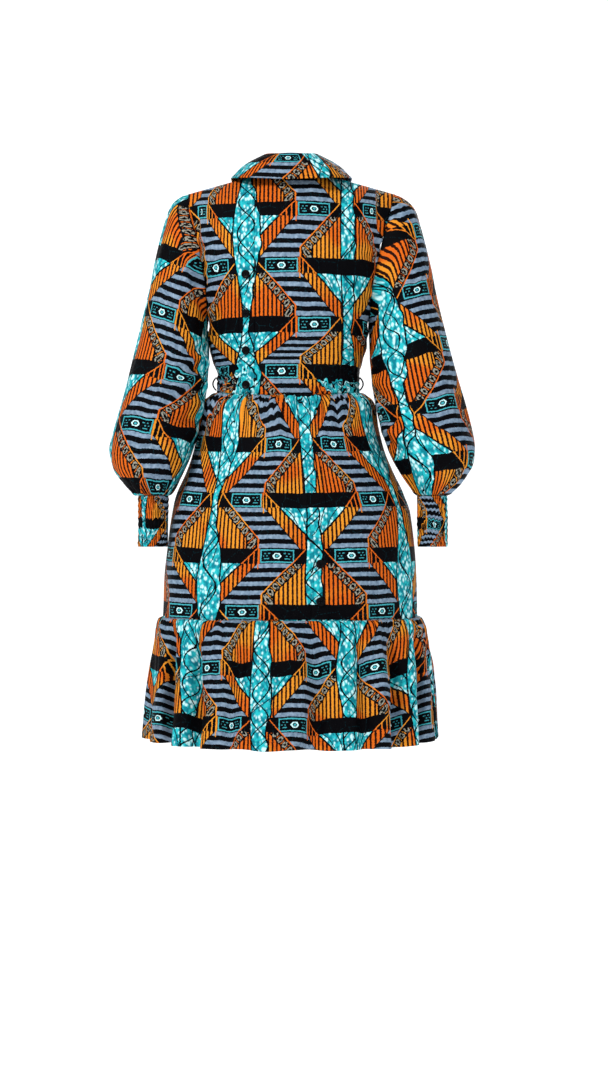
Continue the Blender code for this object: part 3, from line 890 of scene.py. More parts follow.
def sew(name, place, relief, centre, seams):
    """Rows of stitches on a panel, each a small bead of thread: a row runs along across or down, at a fixed
    place of the other, from its first place to its last."""
    bm = bmesh.new()
    pitch = bpy.context.scene.dress_sizes.stitch
    shape = Matrix.Diagonal((pitch * 0.40, THREAD_RADIUS * 1.3, THREAD_RADIUS, 1))
    for seam in seams:
        spots = []
        for index in range(SEW_STEPS + 1):
            along = mix(seam.first, seam.last, index / SEW_STEPS)
            spot = (along, seam.fixed) if seam.along == "across" else (seam.fixed, along)
            spots.append(on_cloth(place, relief, centre, *spot))
        walked, due = 0.0, pitch / 2
        for (here, facing), (there, _) in zip(spots, spots[1:]):
            run = there - here
            length = run.length
            while due <= walked + length:
                along = run.normalized()
                side = facing.cross(along).normalized()
                turn = Matrix((along, side, along.cross(side))).transposed().to_4x4()
                spot = Matrix.Translation(here + run * ((due - walked) / length))
                bmesh.ops.create_icosphere(bm, subdivisions=1, radius=1, matrix=spot @ turn @ shape)
                due += pitch
            walked += length
    return piece_of(f"{name}_stitches", bm, bpy.data.materials["thread_black"])


def cloth(name, columns, rows, ways, centre=upright, wrap=False, tucks=None, seams=()):
    """A panel of cloth in the place of the frame's node of that name: a grid at place(across, down), with
    relief raised on it, its print at printed, its edges tucked in and its seams sewn."""
    place, printed, relief = ways
    sizes = bpy.context.scene.dress_sizes
    bm = bmesh.new()
    bmesh.ops.create_grid(bm, x_segments=columns, y_segments=rows, size=0.5)
    spots = {vert: (vert.co.x + 0.5, vert.co.y + 0.5) for vert in bm.verts}
    for vert, spot in spots.items():
        vert.co = place(*spot)
    chart = bm.loops.layers.uv.new(UV_MAP)
    raised = {vert: relief(*spot, vert.co) if relief else 0.0 for vert, spot in spots.items()}
    for face in bm.faces:
        for loop in face.loops:
            loop[chart].uv = printed(*spots[loop.vert], loop.vert.co, raised[loop.vert])
    outward(bm, centre)
    if wrap:
        close_normals(spots)
    moves = {vert: vert.normal * raised[vert] * sizes.fold_depth for vert in bm.verts}
    for vert, move in moves.items():
        vert.co += move
    edges = {side: [] for side in "top bottom first last".split()}
    for edge in bm.edges:
        if not edge.is_boundary:
            continue
        ends = [spots[vert] for vert in edge.verts]
        for side, axis, value in (("first", 0, 0), ("last", 0, 1), ("top", 1, 0), ("bottom", 1, 1)):
            if all(abs(end[axis] - value) < 1e-4 for end in ends):
                edges[side].append(edge)
    if wrap:
        bmesh.ops.remove_doubles(bm, verts=bm.verts, dist=2e-5)
        edges["first"] = edges["last"] = []
        edges = {side: [e for e in found if e.is_valid] for side, found in edges.items()}
    bm.normal_update()
    for side, steps in (tucks or {}).items():
        if edges[side]:
            tuck(bm, edges[side], steps)
    bm.normal_update()
    finish = bpy.data.materials["wax_print"]
    made = piece_of(f"{name}_cloth", bm, finish, (name,))
    wall = made.modifiers.new("wall", "SOLIDIFY")
    wall.thickness = sizes.cloth
    wall.offset = 0
    wall.use_even_offset = False
    if seams:
        sew(name, place, relief, centre, seams)
    return made


def close_normals(spots):
    """Gives the two edges of a closed tube's grid the same normals, where they will be joined."""
    ends = {}
    for vert, (across, down) in spots.items():
        if across < 1e-4 or across > 1 - 1e-4:
            ends.setdefault(round(down, 5), []).append(vert)
    for pair in ends.values():
        normal = sum((vert.normal for vert in pair), Vector()).normalized()
        for vert in pair:
            vert.normal = normal


def arc_table(point, first, last, steps=360):
    """Length along a curve from its first place to each of its steps, as pairs that run upwards."""
    rows = []
    total = 0.0
    before = None
    for index in range(steps + 1):
        place = mix(first, last, index / steps)
        here = point(place)
        if before is not None:
            total += (here - before).length
        rows.append((place, total))
        before = here
    return rows


def length_at(rows, place):
    """Length along an arc_table at a place, by straight lines between its steps."""
    share = (place - rows[0][0]) / (rows[-1][0] - rows[0][0]) * (len(rows) - 1)
    index = min(len(rows) - 2, max(0, int(share)))
    return mix(rows[index][1], rows[index + 1][1], share - index)


def round_the_skirt(height):
    """Length round the skirt at a height, from the middle of the back, for angles from -180 to 180."""
    table = SKIRT if height > TIER_HEIGHT else FLOUNCE
    folds = () if table is SKIRT else FLOUNCE_FOLDS
    rows = arc_table(lambda angle: skirt_point(table, folds, angle, height), -180, 360)
    middle = length_at(rows, 0)
    return [(place, total - middle) for place, total in rows]


SKIRT_ROUND = round_the_skirt(-0.62)
FLOUNCE_ROUND = round_the_skirt(-0.87)
BODICE_ROUND = {
    side: arc_table(lambda x: Vector((x, torso_depth(x, -0.20, side), 0)), -0.20, 0.20) for side in (1, -1)
}

FLOUNCE_PRINT = Start(length_at(FLOUNCE_ROUND, FLOUNCE_COLUMN_ANGLE), -0.8290, 0.00158)


def skirt_print(angle, height, lift=0.0):
    along = length_at(SKIRT_ROUND, angle)
    gathered = 1 - ease(0.01, 0.10, WAIST_HEIGHT - height)
    u = along - SKIRT_PRINT.u + 0.010 * gathered * wander(along / 0.014, height / 0.09, 37)
    v = (SKIRT_PRINT.v - height + lift * mix(0.35, 1.7, gathered)) / SKIRT_PRINT.stretch * CHART
    return u + COLUMN_GAP * CHART, v + HALF_REPEAT * CHART


def skirt_height(down):
    return mix(WAIST_HEIGHT - 0.0008, TIER_HEIGHT + SEAM, down**1.5)


def stand_angle(across, height):
    half_turn = math.degrees(STAND_WIDTH / 2 / read(SKIRT, height).half_width)
    return SKIRT_STAND_ANGLE + across * half_turn


def skirt_relief(angle, height):
    """Gathers under the waist, small puckers above the flounce and a slow unevenness between."""
    along = length_at(SKIRT_ROUND, angle)
    below = WAIST_HEIGHT - height
    above = height - TIER_HEIGHT
    lift = 0.0042 * gathers(along, below, 1)
    pucker = 0.0006 * math.sin(2 * math.pi * along / 0.014 + 3 * wander(along / 0.05, 0, 4))
    slow = 0.0034 * wander(along / 0.05, height / 0.40, 8)
    slow += 0.0012 * wander(along / 0.022, height / 0.09, 9)
    slow = slow * ease(0.0, 0.03, below) * ease(0, 0.02, above)
    return lift + pucker * (1 - ease(0.0, 0.03, above)) + slow


def stand_calm(angle, height):
    """0 on the skirt's button stand, which holds the cloth flat, and 1 away from it."""
    half = math.degrees(STAND_WIDTH / 2 / read(SKIRT, height).half_width)
    away = abs(angle - SKIRT_STAND_ANGLE)
    return mix(ease(half, half * 1.8, away), 1, 1 - ease(-0.40, -0.47, height))


def skirt_pieces():
    def back(edge):
        def spot(across, down):
            height = skirt_height(down)
            return mix(stand_angle(0, height), edge * BACK_ANGLE, across), height

        def place(across, down):
            return skirt_point(SKIRT, SKIRT_FOLDS, *spot(across, down)) + Vector((edge * SEAM / 2, 0, 0))

        def relief(across, down, point):
            angle, height = spot(across, down)
            return skirt_relief(angle, height) * stand_calm(angle, height)

        def printed(across, down, point, raised):
            return skirt_print(*spot(across, down), raised)

        return place, printed, relief

    def spot(across, down):
        return mix(*FRONT_ANGLES, across), skirt_height(down)

    front = (
        lambda across, down: skirt_point(SKIRT, SKIRT_FOLDS, *spot(across, down)),
        lambda across, down, _, raised: skirt_print(*spot(across, down), raised),
        lambda across, down, _: skirt_relief(*spot(across, down)),
    )
    tucks = {"top": SEAM_TUCK, "bottom": SEAM_TUCK, "last": SEAM_TUCK}
    for name, edge, columns in (("left", 1, 118), ("right", -1, 96)):
        made = cloth(f"skirt_back_{name}", columns, SKIRT_ROWS, back(edge), tucks=tucks)
    tucks = {side: SEAM_TUCK for side in ("top", "bottom", "first", "last")}
    made = cloth("skirt_front", 200, SKIRT_ROWS, front, tucks=tucks)


def hidden_cloth(angle):
    """Cloth that the flounce's folds up to an angle take out of sight."""
    total = 0.0
    for fold in FLOUNCE_FOLDS:
        place = fold.angle % 360 if angle > 90 else fold.angle
        total += FOLD_TAKE * fold.depth * ease(place - CREASE_HALF, place + CREASE_HALF, angle)
    return total


def flounce_print(angle, height, lift=0.0):
    drawn_in = ease(0.02, 0.10, TIER_HEIGHT - height)
    hidden = hidden_cloth(angle) - hidden_cloth(FLOUNCE_COLUMN_ANGLE)
    spread = length_at(FLOUNCE_ROUND, angle) - FLOUNCE_PRINT.u
    u = spread * FLOUNCE_FULLNESS + hidden * mix(0.7, 1, drawn_in)
    v = (FLOUNCE_PRINT.v - height + lift * 0.4) / FLOUNCE_PRINT.stretch * CHART
    return u + 4 * COLUMN_GAP * CHART, v + 7 * REPEAT * CHART


def flounce_relief(angle, height):
    along = length_at(FLOUNCE_ROUND, angle)
    below = TIER_HEIGHT - height
    lift = 0.0050 * gathers(along, below, 12)
    wide = 0.0095 * wander(along / 0.034, height / 0.30, 14)
    wide += 0.0034 * wander(along / 0.016, height / 0.2, 15)
    crease = 0.0
    for fold in FLOUNCE_FOLDS:
        away = (angle - fold.angle - 3 * wander(height / 0.12, fold.angle, 16) + 180) % 360 - 180
        crease += CREASE_GAIN * fold.depth * math.exp(-((away / CREASE_HALF) ** 2))
    return lift + (wide - crease) * ease(0.0, 0.09, below)


def flounce_pieces():
    for name, ends in (("back", (-BACK_ANGLE, BACK_ANGLE)), ("front", FRONT_ANGLES)):

        def spot(across, down):
            return mix(*ends, across), mix(TIER_HEIGHT - 0.0008, HEM_HEIGHT, down**1.25)

        def place(across, down):
            angle, height = spot(across, down)
            point = skirt_point(FLOUNCE, FLOUNCE_FOLDS, angle, height)
            point.z += 0.0035 * wander(length_at(FLOUNCE_ROUND, angle) / 0.05, 0, 17) * down
            return point

        def relief(across, down, point):
            return flounce_relief(*spot(across, down))

        def printed(across, down, point, raised):
            return flounce_print(*spot(across, down), raised)

        tucks = {"top": SEAM_TUCK, "first": SEAM_TUCK, "last": SEAM_TUCK, "bottom": HEM_TUCK}
        hem = [Seam("across", 0.945, 0.001, 0.999)]
        made = cloth(f"flounce_{name}", 260, 66, (place, printed, relief), tucks=tucks, seams=hem)


def shirred(height):
    """1 in the band over the waist seam that rows of elastic thread draw in, and 0 above it."""
    return 1 - ease(0.030, 0.046, height - WAIST_HEIGHT)


def bodice_print(x, height, side, lift=0.0):
    x_length = length_at(BODICE_ROUND[side], x) - length_at(BODICE_ROUND[side], 0)
    u = side * x_length - BODICE_PRINT.u * (side > 0)
    v = (BODICE_PRINT.v - height + lift) / BODICE_PRINT.stretch * CHART
    v += 0.020 * (1 - ease(0.035, 0.095, height - WAIST_HEIGHT))
    crinkled = shirred(height) * ease(0.03, 0.09, abs(x - BODY_MIDDLE))
    u += 0.014 * crinkled * wander(x / 0.0065, height / 0.010, 33)
    v += 0.018 * crinkled * wander(x / 0.0045, height / 0.010, 35)
    return u + 2 * COLUMN_GAP * CHART, v + 4 * REPEAT * CHART


def bodice_relief(x, height, side):
    """Shirring above the waist seam, the blousing over it and soft creases towards the armholes."""
    above = height - WAIST_HEIGHT
    sides = ease(0.05, 0.095, abs(x - BODY_MIDDLE)) * 0.85 + 0.15
    along = x * 1.15
    rib = math.sin(2 * math.pi * (along / 0.0072 + 0.8 * wander(along / 0.02, above / 0.02, 21)))
    rows = 0.5 + 0.5 * math.cos(2 * math.pi * (above / 0.0105 + 0.1 * wander(along / 0.02, 0, 24)))
    shirr = (0.0016 * rib - 0.0016 * rows) * shirred(height) * ease(0.0, 0.004, above) * sides
    blouse = 0.0030 * gathers(along, above - 0.036, 22) * ease(0.036, 0.05, above) * sides
    slow = 0.0022 * wander(x / 0.05, height / 0.07, 25 + side)
    slow += 0.0009 * wander(x / 0.018, height / 0.03, 27)
    slope = 2 * math.pi * (height + 0.55 * abs(x)) / 0.034
    pull = 0.0018 * math.sin(slope + 2 * wander(x / 0.04, height / 0.04, 28))
    near_arm = ease(0.09, 0.15, abs(x)) * (1 - ease(-0.12, -0.07, height)) * ease(-0.32, -0.27, height)
    calm = ease(0.0, 0.03, top_edge(x / SHOULDER_HALF, side) - height)
    stand = 1.0
    if side > 0:
        stand = ease(STAND_WIDTH / 2, STAND_WIDTH, abs(x - BODICE_STAND_X))
    return (shirr + blouse + (slow * ease(0.03, 0.06, above) + pull * near_arm) * calm) * stand


def bodice_pieces():
    def column_share(share):
        """Columns close up towards the side, where the panel turns most."""
        return math.sin(share * math.pi / 2) * 0.5 + share * 0.5

    def side_of(point_of, side):
        def printed(across, down, point, raised):
            return bodice_print(point.x, point.z, side, raised)

        def relief(across, down, point):
            return bodice_relief(point.x, point.z, side)

        return point_of, printed, relief

    def front(across, down):
        away = 2 * across - 1
        return torso_point(math.copysign(column_share(abs(away)), away), down, -1)

    def back(edge):
        def place(across, down):
            return back_point(edge, 0, column_share(across), down) + Vector((edge * SEAM / 2, 0, 0))

        return place

    tucks = {side: SEAM_TUCK for side in ("top", "bottom", "first", "last")}
    made = cloth("bodice_front", 116, 124, side_of(front, -1), tucks=tucks)
    for name, edge, columns, flat in (("left", 1, 44, (0.14, 0.43)), ("right", -1, 84, (0.31, 0.43))):
        tucks = {"top": SEAM_TUCK, "bottom": SEAM_TUCK, "last": SEAM_TUCK}
        made = cloth(f"bodice_back_{name}", columns, 124, side_of(back(edge), 1), tucks=tucks)


def catmull(points, place):
    """A smooth curve through points in turn, at a place counted in points."""
    index = min(len(points) - 2, max(0, int(place)))
    share = place - index
    start, end = points[index], points[index + 1]
    before = points[index - 1] if index else start * 2 - end
    after = points[index + 2] if index + 2 < len(points) else end * 2 - start
    reach = (end - start).length
    leave = (end - before).normalized() * reach
    arrive = (after - start).normalized() * reach
    return Vector(hermite(start, end, leave, arrive, share))


def sleeve_lengths(side_x):
    """How far down the sleeve each ring lies below the last of the tilted ones."""
    middles = []
    for row in range(len(SLEEVE) + 1):
        middles.append((sleeve_ring(row, 0, side_x) + sleeve_ring(row, math.pi, side_x)) / 2)
    total = 0.0
    lengths = []
    for row, middle in enumerate(middles):
        if row > TILTED_ROWS:
            total += (middle - middles[row - 1]).length
        lengths.append(total)
    return lengths


def sleeve_print(side_x, turn, row, point, lengths, lift=0.0):
    """Turns round and down the sleeve into places on its cloth. The right sleeve's print is upside down."""
    start = SLEEVE_PRINT[side_x]
    u = (turn - start.u) * SLEEVE_ROUND / start.stretch * CHART
    flat_row = min(row, TILTED_ROWS)
    head = sleeve_ring_point(side_x, turn, flat_row) if row > TILTED_ROWS else point
    down = math.cos(SLEEVE_TILT) * -head.z + math.sin(SLEEVE_TILT) * abs(head.x)
    whole = int(row)
    below = mix(lengths[whole], lengths[min(whole + 1, len(lengths) - 1)], row - whole)
    v = (down + below + lift - start.v) / start.stretch * CHART
    return u + 4 * COLUMN_GAP * CHART, side_x * v + 4 * REPEAT * CHART


RING_POINTS = {}


def sleeve_ring_point(side_x, turn, place):
    key = (side_x, round(turn, 5))
    if key not in RING_POINTS:
        RING_POINTS[key] = [sleeve_ring(row, turn, side_x) for row in range(len(SLEEVE) + 1)]
    return catmull(RING_POINTS[key], place)


def sleeve_relief(side_x, turn, row, point):
    """Ease at the head, long soft folds, creases at the bend of the arm and gathers above the cuff."""
    seed = 40 if side_x > 0 else 60
    last = len(SLEEVE)
    along = turn * SLEEVE_ROUND
    to_cuff = max(0.0, point.z - SLEEVE[-1].outer_height) if row > TILTED_ROWS else 1.0
    outer = 0.5 + 0.5 * math.cos(turn)
    head = 0.0016 * gathers(along, row * 0.028, seed) * ease(0.35, 0.8, outer)
    cuff = 0.0034 * gathers(along, to_cuff, seed + 1)
    slow = 0.0040 * wander(turn * 1.5, row * 0.33, seed + 2)
    slow += 0.0018 * wander(turn * 4.0, row * 0.7, seed + 3)
    slope = (point.z + 0.3 * abs(point.x)) / 0.041
    wave = math.sin(2 * math.pi * slope + 2.5 * wander(turn * 1.2, row * 0.4, seed + 4))
    crease = 0.0032 * wave * ease(0.30, 0.9, 1 - outer) * ease(4.0, 5.2, row) * (1 - ease(7.5, 9.0, row))
    calm = ease(0.0, 0.9, row) * (1 - ease(last - 0.35, last, row))
    cuff *= 1 - ease(last - 0.12, last, row)
    seam = ease(0.0, 0.35, math.pi - abs(turn))
    return ((slow + crease) * calm + head * ease(0.0, 0.3, row) + cuff) * seam


def sleeve(name, side_x):
    lengths = sleeve_lengths(side_x)
    last = len(SLEEVE)

    def turned(across):
        """From the underarm seam round the outside of the arm, at 0, and back to the seam."""
        return (2 * across - 1) * math.pi

    def row_at(down):
        return last * mix(down, 1 - (1 - down) ** 1.25, 0.75)

    def place(across, down):
        return sleeve_ring_point(side_x, turned(across) % (2 * math.pi), row_at(down))

    def printed(across, down, point, raised):
        return sleeve_print(side_x, turned(across), row_at(down), point, lengths, raised)

    def relief(across, down, point):
        return sleeve_relief(side_x, turned(across), row_at(down), point)

    def centre(point):
        return Vector((side_x * mix(0.17, 0.24, ease(-0.05, -0.45, point.z)), 0.03, point.z))

    tucks = {"top": SEAM_TUCK, "bottom": SEAM_TUCK}
    made = cloth(name, 150, 150, (place, printed, relief), centre, True, tucks)


def cuff(name, side_x):
    """A cuff drawn in by rows of elastic thread, which crinkle it all over."""

    def place(across, down):
        turn = math.pi + across * 2 * math.pi
        top, bottom = CUFF
        start = ring_point(top, turn, side_x, SLEEVE_SHIFT)
        end = ring_point(bottom, turn, side_x, SLEEVE_SHIFT)
        return start.lerp(end, down)

    def relief(across, down, point):
        along = across * 0.18
        rib = math.sin(2 * math.pi * (27 * across + 0.9 * wander(across * 9, down * 2.5, 71 + side_x)))
        rows = 0.5 + 0.5 * math.cos(2 * math.pi * (down * 8))
        slow = wander(along / 0.02, down * 3, 73 + side_x)
        inner = ease(0.0, 0.06, down) * ease(1.0, 0.92, down) * ease(0.0, 0.03, min(across, 1 - across))
        return (0.0009 * rib - 0.0010 * rows + 0.0008 * slow) * inner

    def printed(across, down, point, raised):
        skew = 0.006 * wander(across * 7, down * 3, 75 + side_x)
        u = (across - 0.5) * 0.34 + skew + 0.07 * side_x + 0.05
        return u + 3 * COLUMN_GAP * CHART, down * 0.125 + skew * 1.5 + 0.33 + raised * 2

    def centre(point):
        return Vector((side_x * 0.24, 0.06, point.z))

    tucks = {"top": CUFF_TUCK, "bottom": HEM_TUCK}
    seams = [Seam("across", fixed, 0, 1) for fixed in (0.05, 0.94)]
    made = cloth(name, 150, 64, (place, printed, relief), centre, True, tucks, seams)
    "sleeve_left" if side_x > 0 else "sleeve_right"


def collar_pieces():
    def leaf(across, down):
        return collar_point(2 * across - 1, down)

    def leaf_print(across, down, point, raised):
        v = 0.060 * down - 0.002 + 1.5 * REPEAT * CHART
        return (across - 0.72) * 0.56 + COLUMN_GAP * CHART, v

    def leaf_relief(across, down, point):
        slow = 0.0009 * wander(across * 9, down * 1.6, 81) * ease(0.0, 0.2, down)
        return slow + 0.0008 * ease(0.86, 1.0, down)

    def band(across, down):
        around = 2 * across - 1
        neck = neck_point(around)
        fold = collar_line(around)[0]
        inward = Vector((fold.x, fold.y, 0)).normalized()
        top = fold - inward * BAND_INSET - Vector((0, 0, BAND_DROP))
        bottom = neck + (top - neck).normalized() * BAND_CLEAR
        return bottom.lerp(top, down)

    def band_print(across, down, point, raised):
        return (across - 0.5) * 0.40, down * 0.04 + 0.08

    tucks = {"bottom": COLLAR_TUCK, "first": COLLAR_TUCK, "last": COLLAR_TUCK, "top": COLLAR_FOLD_TUCK}
    seams = [Seam("across", 0.94, 0.008, 0.992)]
    seams += [Seam("down", fixed, 0.02, 0.94) for fixed in (0.008, 0.992)]
    ways = (leaf, leaf_print, leaf_relief)
    made = cloth("collar_leaf", 210, 26, ways, tucks=tucks, seams=seams)
    made = cloth("collar_band", 150, 12, (band, band_print, None))


def bodice_stand_surface(across, down):
    """The outside of the bodice's button stand at a place from -1 to 1 over it, and the way it faces."""
    point = back_point(math.copysign(1, across), abs(across), 0, down)
    x, height = point.x, point.z
    beside = torso_depth(x + 0.004, height, 1) - torso_depth(x - 0.004, height, 1)
    above = torso_depth(x, height + 0.004, 1) - torso_depth(x, height - 0.004, 1)
    facing = Vector((-beside / 0.008, 1, -above / 0.008)).normalized()
    return point + facing * STAND_LIFT, facing


def skirt_stand_surface(across, height):
    angle = stand_angle(across, height)
    point = skirt_point(SKIRT, SKIRT_FOLDS, angle, height)
    beside = skirt_point(SKIRT, SKIRT_FOLDS, angle - 1, height) - point
    below = skirt_point(SKIRT, SKIRT_FOLDS, angle, height - 0.004) - point
    facing = below.cross(beside).normalized()
    lift = skirt_relief(angle, height) * stand_calm(angle, height)
    return point + facing * (STAND_LIFT + max(0.0, lift)), facing


def stand_pieces():
    first = 1 / 14

    def bodice_strip(across, down):
        return bodice_stand_surface(2 * across - 1, mix(first, STAND_END, down))[0]

    def bodice_strip_print(across, down, point, raised):
        return bodice_print(point.x, point.z, 1)

    def skirt_strip(across, down):
        return skirt_stand_surface(2 * across - 1, skirt_height(down))[0]

    def skirt_strip_print(across, down, point, raised):
        height = skirt_height(down)
        return skirt_print(stand_angle(2 * across - 1, height), height)

    def ridges(across, down, point):
        """The pressed edges stand up a little, and the rows of stitches beside them sink in."""
        away = abs(2 * across - 1)
        sunk = -0.0004 * ease(0.68, 0.78, away) * ease(0.94, 0.84, away)
        return sunk + 0.0003 * wander(down * 30, across * 2, 91)

    tucks = {side: STAND_FOLD for side in ("first", "last", "top", "bottom")}
    for name, place, printed, length, panel in (
        ("bodice", bodice_strip, bodice_strip_print, 0.37, "bodice_back_right"),
        ("skirt", skirt_strip, skirt_strip_print, 0.40, "skirt_back_right"),
    ):
        seams = [Seam("down", fixed, 0.004, 0.996) for fixed in (0.10, 0.90)]
        ways = (place, printed, ridges)
        made = cloth(f"{name}_button_stand", 14, 130, ways, tucks=tucks, seams=seams)


def rod(bm, segments, radius, length, matrix):
    """Adds a capped rod to a bmesh."""
    bmesh.ops.create_cone(
        bm, cap_ends=True, segments=segments, radius1=radius, radius2=radius, depth=length, matrix=matrix
    )


def button(name, node, centre, facing):
    """A turned button with a raised rim, a dished middle and four holes sewn through with black thread."""
    bm = bmesh.new()
    verts = [bm.verts.new((radius, 0, height)) for radius, height in BUTTON_PROFILE]
    edges = [bm.edges.new(pair) for pair in zip(verts, verts[1:])]
    bmesh.ops.spin(
        bm,
        geom=verts + edges,
        cent=(0, 0, 0),
        axis=(0, 0, 1),
        angle=2 * math.pi,
        steps=BUTTON_STEPS,
        use_merge=True,
    )
    bmesh.ops.remove_doubles(bm, verts=bm.verts, dist=1e-6)
    bmesh.ops.recalc_face_normals(bm, faces=bm.faces)
    turn = facing.to_track_quat("Z", "Y").to_matrix().to_4x4()
    stand = Matrix.Translation(centre + facing * BUTTON_RISE) @ turn
    holes = bmesh.new()
    thread = bmesh.new()
    for quarter in range(4):
        angle = math.pi / 4 + quarter * math.pi / 2
        spot = Vector((math.cos(angle), math.sin(angle), 0)) * HOLE_AWAY
        rod(holes, 12, HOLE_RADIUS, HOLE_DEPTH, Matrix.Translation(spot))
    for cross in range(2):
        angle = math.pi / 4 + cross * math.pi / 2
        for ply in (-1, 1):
            spot = Vector((0, ply * STRAND_APART, STRAND_HEIGHT + cross * STRAND_OVER))
            beside = Matrix.Rotation(angle, 4, "Z") @ Matrix.Translation(spot)
            level = beside @ Matrix.Rotation(math.pi / 2, 4, "Y")
            rod(thread, 8, STRAND_RADIUS, STRAND_LENGTH, level)
    cutter = bpy.data.objects.new(name + "_holes", bpy.data.meshes.new(name + "_holes"))
    holes.to_mesh(cutter.data)
    holes.free()
    mesh = bpy.data.meshes.new(name)
    bm.to_mesh(mesh)
    bm.free()
    blank = bpy.data.objects.new(name + "_blank", mesh)
    for helper in (blank, cutter):
        bpy.context.scene.collection.objects.link(helper)
    cut = blank.modifiers.new("holes", "BOOLEAN")
    cut.operation = "DIFFERENCE"
    cut.object = cutter
    graph = bpy.context.evaluated_depsgraph_get()
    pierced = bmesh.new()
    pierced.from_mesh(blank.evaluated_get(graph).to_mesh())
    for helper in (blank, cutter):
        bpy.data.objects.remove(helper)
    pierced.transform(stand)
    thread.transform(stand)
    made = piece_of(name, pierced, bpy.data.materials["button_black"], (node,))
    made.data.set_sharp_from_angle(angle=math.radians(40))
    piece_of(name + "_thread", thread, bpy.data.materials["thread_black"])


def down_at(height):
    """How far down the bodice's button stand a height lies, found by halving."""
    low, high = 0.0, 1.0
    for _ in range(30):
        middle = (low + high) / 2
        if row_height(BODICE_STAND_X / SHOULDER_HALF, middle, 1) > height:
            low = middle
        else:
            high = middle
    return low


def thread_loop(name, side_x):
    """A chain of thread: two plies that twist about each other, knotted to the side seam at its ends."""
    curve = bpy.data.curves.new(name, "CURVE")
    curve.dimensions = "3D"
    curve.bevel_depth = LOOP_RADIUS * PLY_SHARE
    curve.bevel_resolution = 3
    curve.use_fill_caps = True
    steps = 90
    for ply in (0, math.pi):
        spline = curve.splines.new("POLY")
        spline.points.add(steps)
        for index, point in enumerate(spline.points):
            share = index / steps
            height = mix(LOOP_TOP, LOOP_BOTTOM, share)
            section = read(BODICE, height)
            off = 0.0006 + LOOP_RADIUS + LOOP_STAND_OFF * math.sin(math.pi * share) ** 0.8
            twist = ply + share * 2 * math.pi * PLY_TURNS
            out = section.half_width + off + LOOP_RADIUS * PLY_APART * math.cos(twist)
            y = LOOP_RADIUS * PLY_APART * math.sin(twist)
            point.co = (section.centre + side_x * out, y, height, 1)
    made = bpy.data.objects.new(name, curve)
    bpy.context.scene.collection.objects.link(made)
    graph = bpy.context.evaluated_depsgraph_get()
    bm = bmesh.new()
    bm.from_mesh(made.evaluated_get(graph).to_mesh())
    bpy.data.objects.remove(made)
    return piece_of(f"{name}_chain", bm, bpy.data.materials["thread_black"], (name,))


def stage():
    """A plain pale floor that sweeps up far behind, soft lamps and the camera."""
    bm = bmesh.new()
    front, back, top, radius, half = 7.0, -7.0, 6.0, 3.0, 9.0
    profile = [Vector((-half, front, FLOOR_HEIGHT)), Vector((-half, back + radius, FLOOR_HEIGHT))]
    for step in range(1, 13):
        turn = step / 12 * math.pi / 2
        y = back + radius - radius * math.sin(turn)
        profile.append(Vector((-half, y, FLOOR_HEIGHT + radius * (1 - math.cos(turn)))))
    profile.append(Vector((-half, back, top)))
    verts = [bm.verts.new(point) for point in profile]
    edges = [bm.edges.new(pair) for pair in zip(verts, verts[1:])]
    made = bmesh.ops.extrude_edge_only(bm, edges=edges)["geom"]
    bmesh.ops.translate(
        bm, verts=[item for item in made if isinstance(item, bmesh.types.BMVert)], vec=(2 * half, 0, 0)
    )
    bmesh.ops.recalc_face_normals(bm, faces=bm.faces)
    if sum(face.normal.z for face in bm.faces) < 0:
        bmesh.ops.reverse_faces(bm, faces=bm.faces)
    mesh = bpy.data.meshes.new("studio_floor")
    bm.to_mesh(mesh)
    bm.free()
    mesh.shade_smooth()
    mesh.materials.append(paper_finish())
    paper = bpy.data.objects.new("studio_floor", mesh)
    bpy.context.scene.collection.objects.link(paper)

    world = bpy.data.worlds.new("soft_light")
    world.use_nodes = True
    sky = world.node_tree.nodes["Background"]
    sky.inputs["Color"].default_value = SKY_COLOUR
    sky.inputs["Strength"].default_value = SKY_STRENGTH
    bpy.context.scene.world = world
    for name, place, size, power in LAMPS:
        light = bpy.data.lights.new(name, "AREA")
        light.shape = "DISK"
        light.size = size
        light.energy = power
        lamp = bpy.data.objects.new(name, light)
        lamp.location = place
        aim = LAMP_AIM - Vector(place)
        lamp.rotation_euler = aim.to_track_quat("-Z", "Y").to_euler()
        bpy.context.scene.collection.objects.link(lamp)

    view = bpy.data.cameras.new("camera")
    view.lens = SENSOR * CAMERA_DISTANCE / VIEW_HEIGHT
    view.sensor_width = SENSOR
    camera = bpy.data.objects.new("camera", view)
    camera.location = (CAMERA_X, CAMERA_DISTANCE, CAMERA_HEIGHT)
    camera.rotation_euler = (math.pi / 2, 0, math.pi)
    bpy.context.scene.collection.objects.link(camera)
    bpy.context.scene.camera = camera
    bpy.context.scene.view_settings.view_transform = "Standard"


class DressSizes(bpy.types.PropertyGroup):
    """Sizes of the cloth."""

    cloth: bpy.props.FloatProperty(
        name="Cloth", description="Thickness of the cloth", default=0.0009, unit="LENGTH", subtype="DISTANCE"
    )
    fold_depth: bpy.props.FloatProperty(
        name="Folds", description="How deep gathers and creases are, as a share of their own", default=1.0
    )
    stitch: bpy.props.FloatProperty(
        name="Stitch", description="Length of one stitch", default=0.0026, unit="LENGTH", subtype="DISTANCE"
    )


def colour_choice(name, description, default):
    return bpy.props.FloatVectorProperty(
        name=name, description=description, default=default, size=3, min=0, max=1, subtype="COLOR"
    )


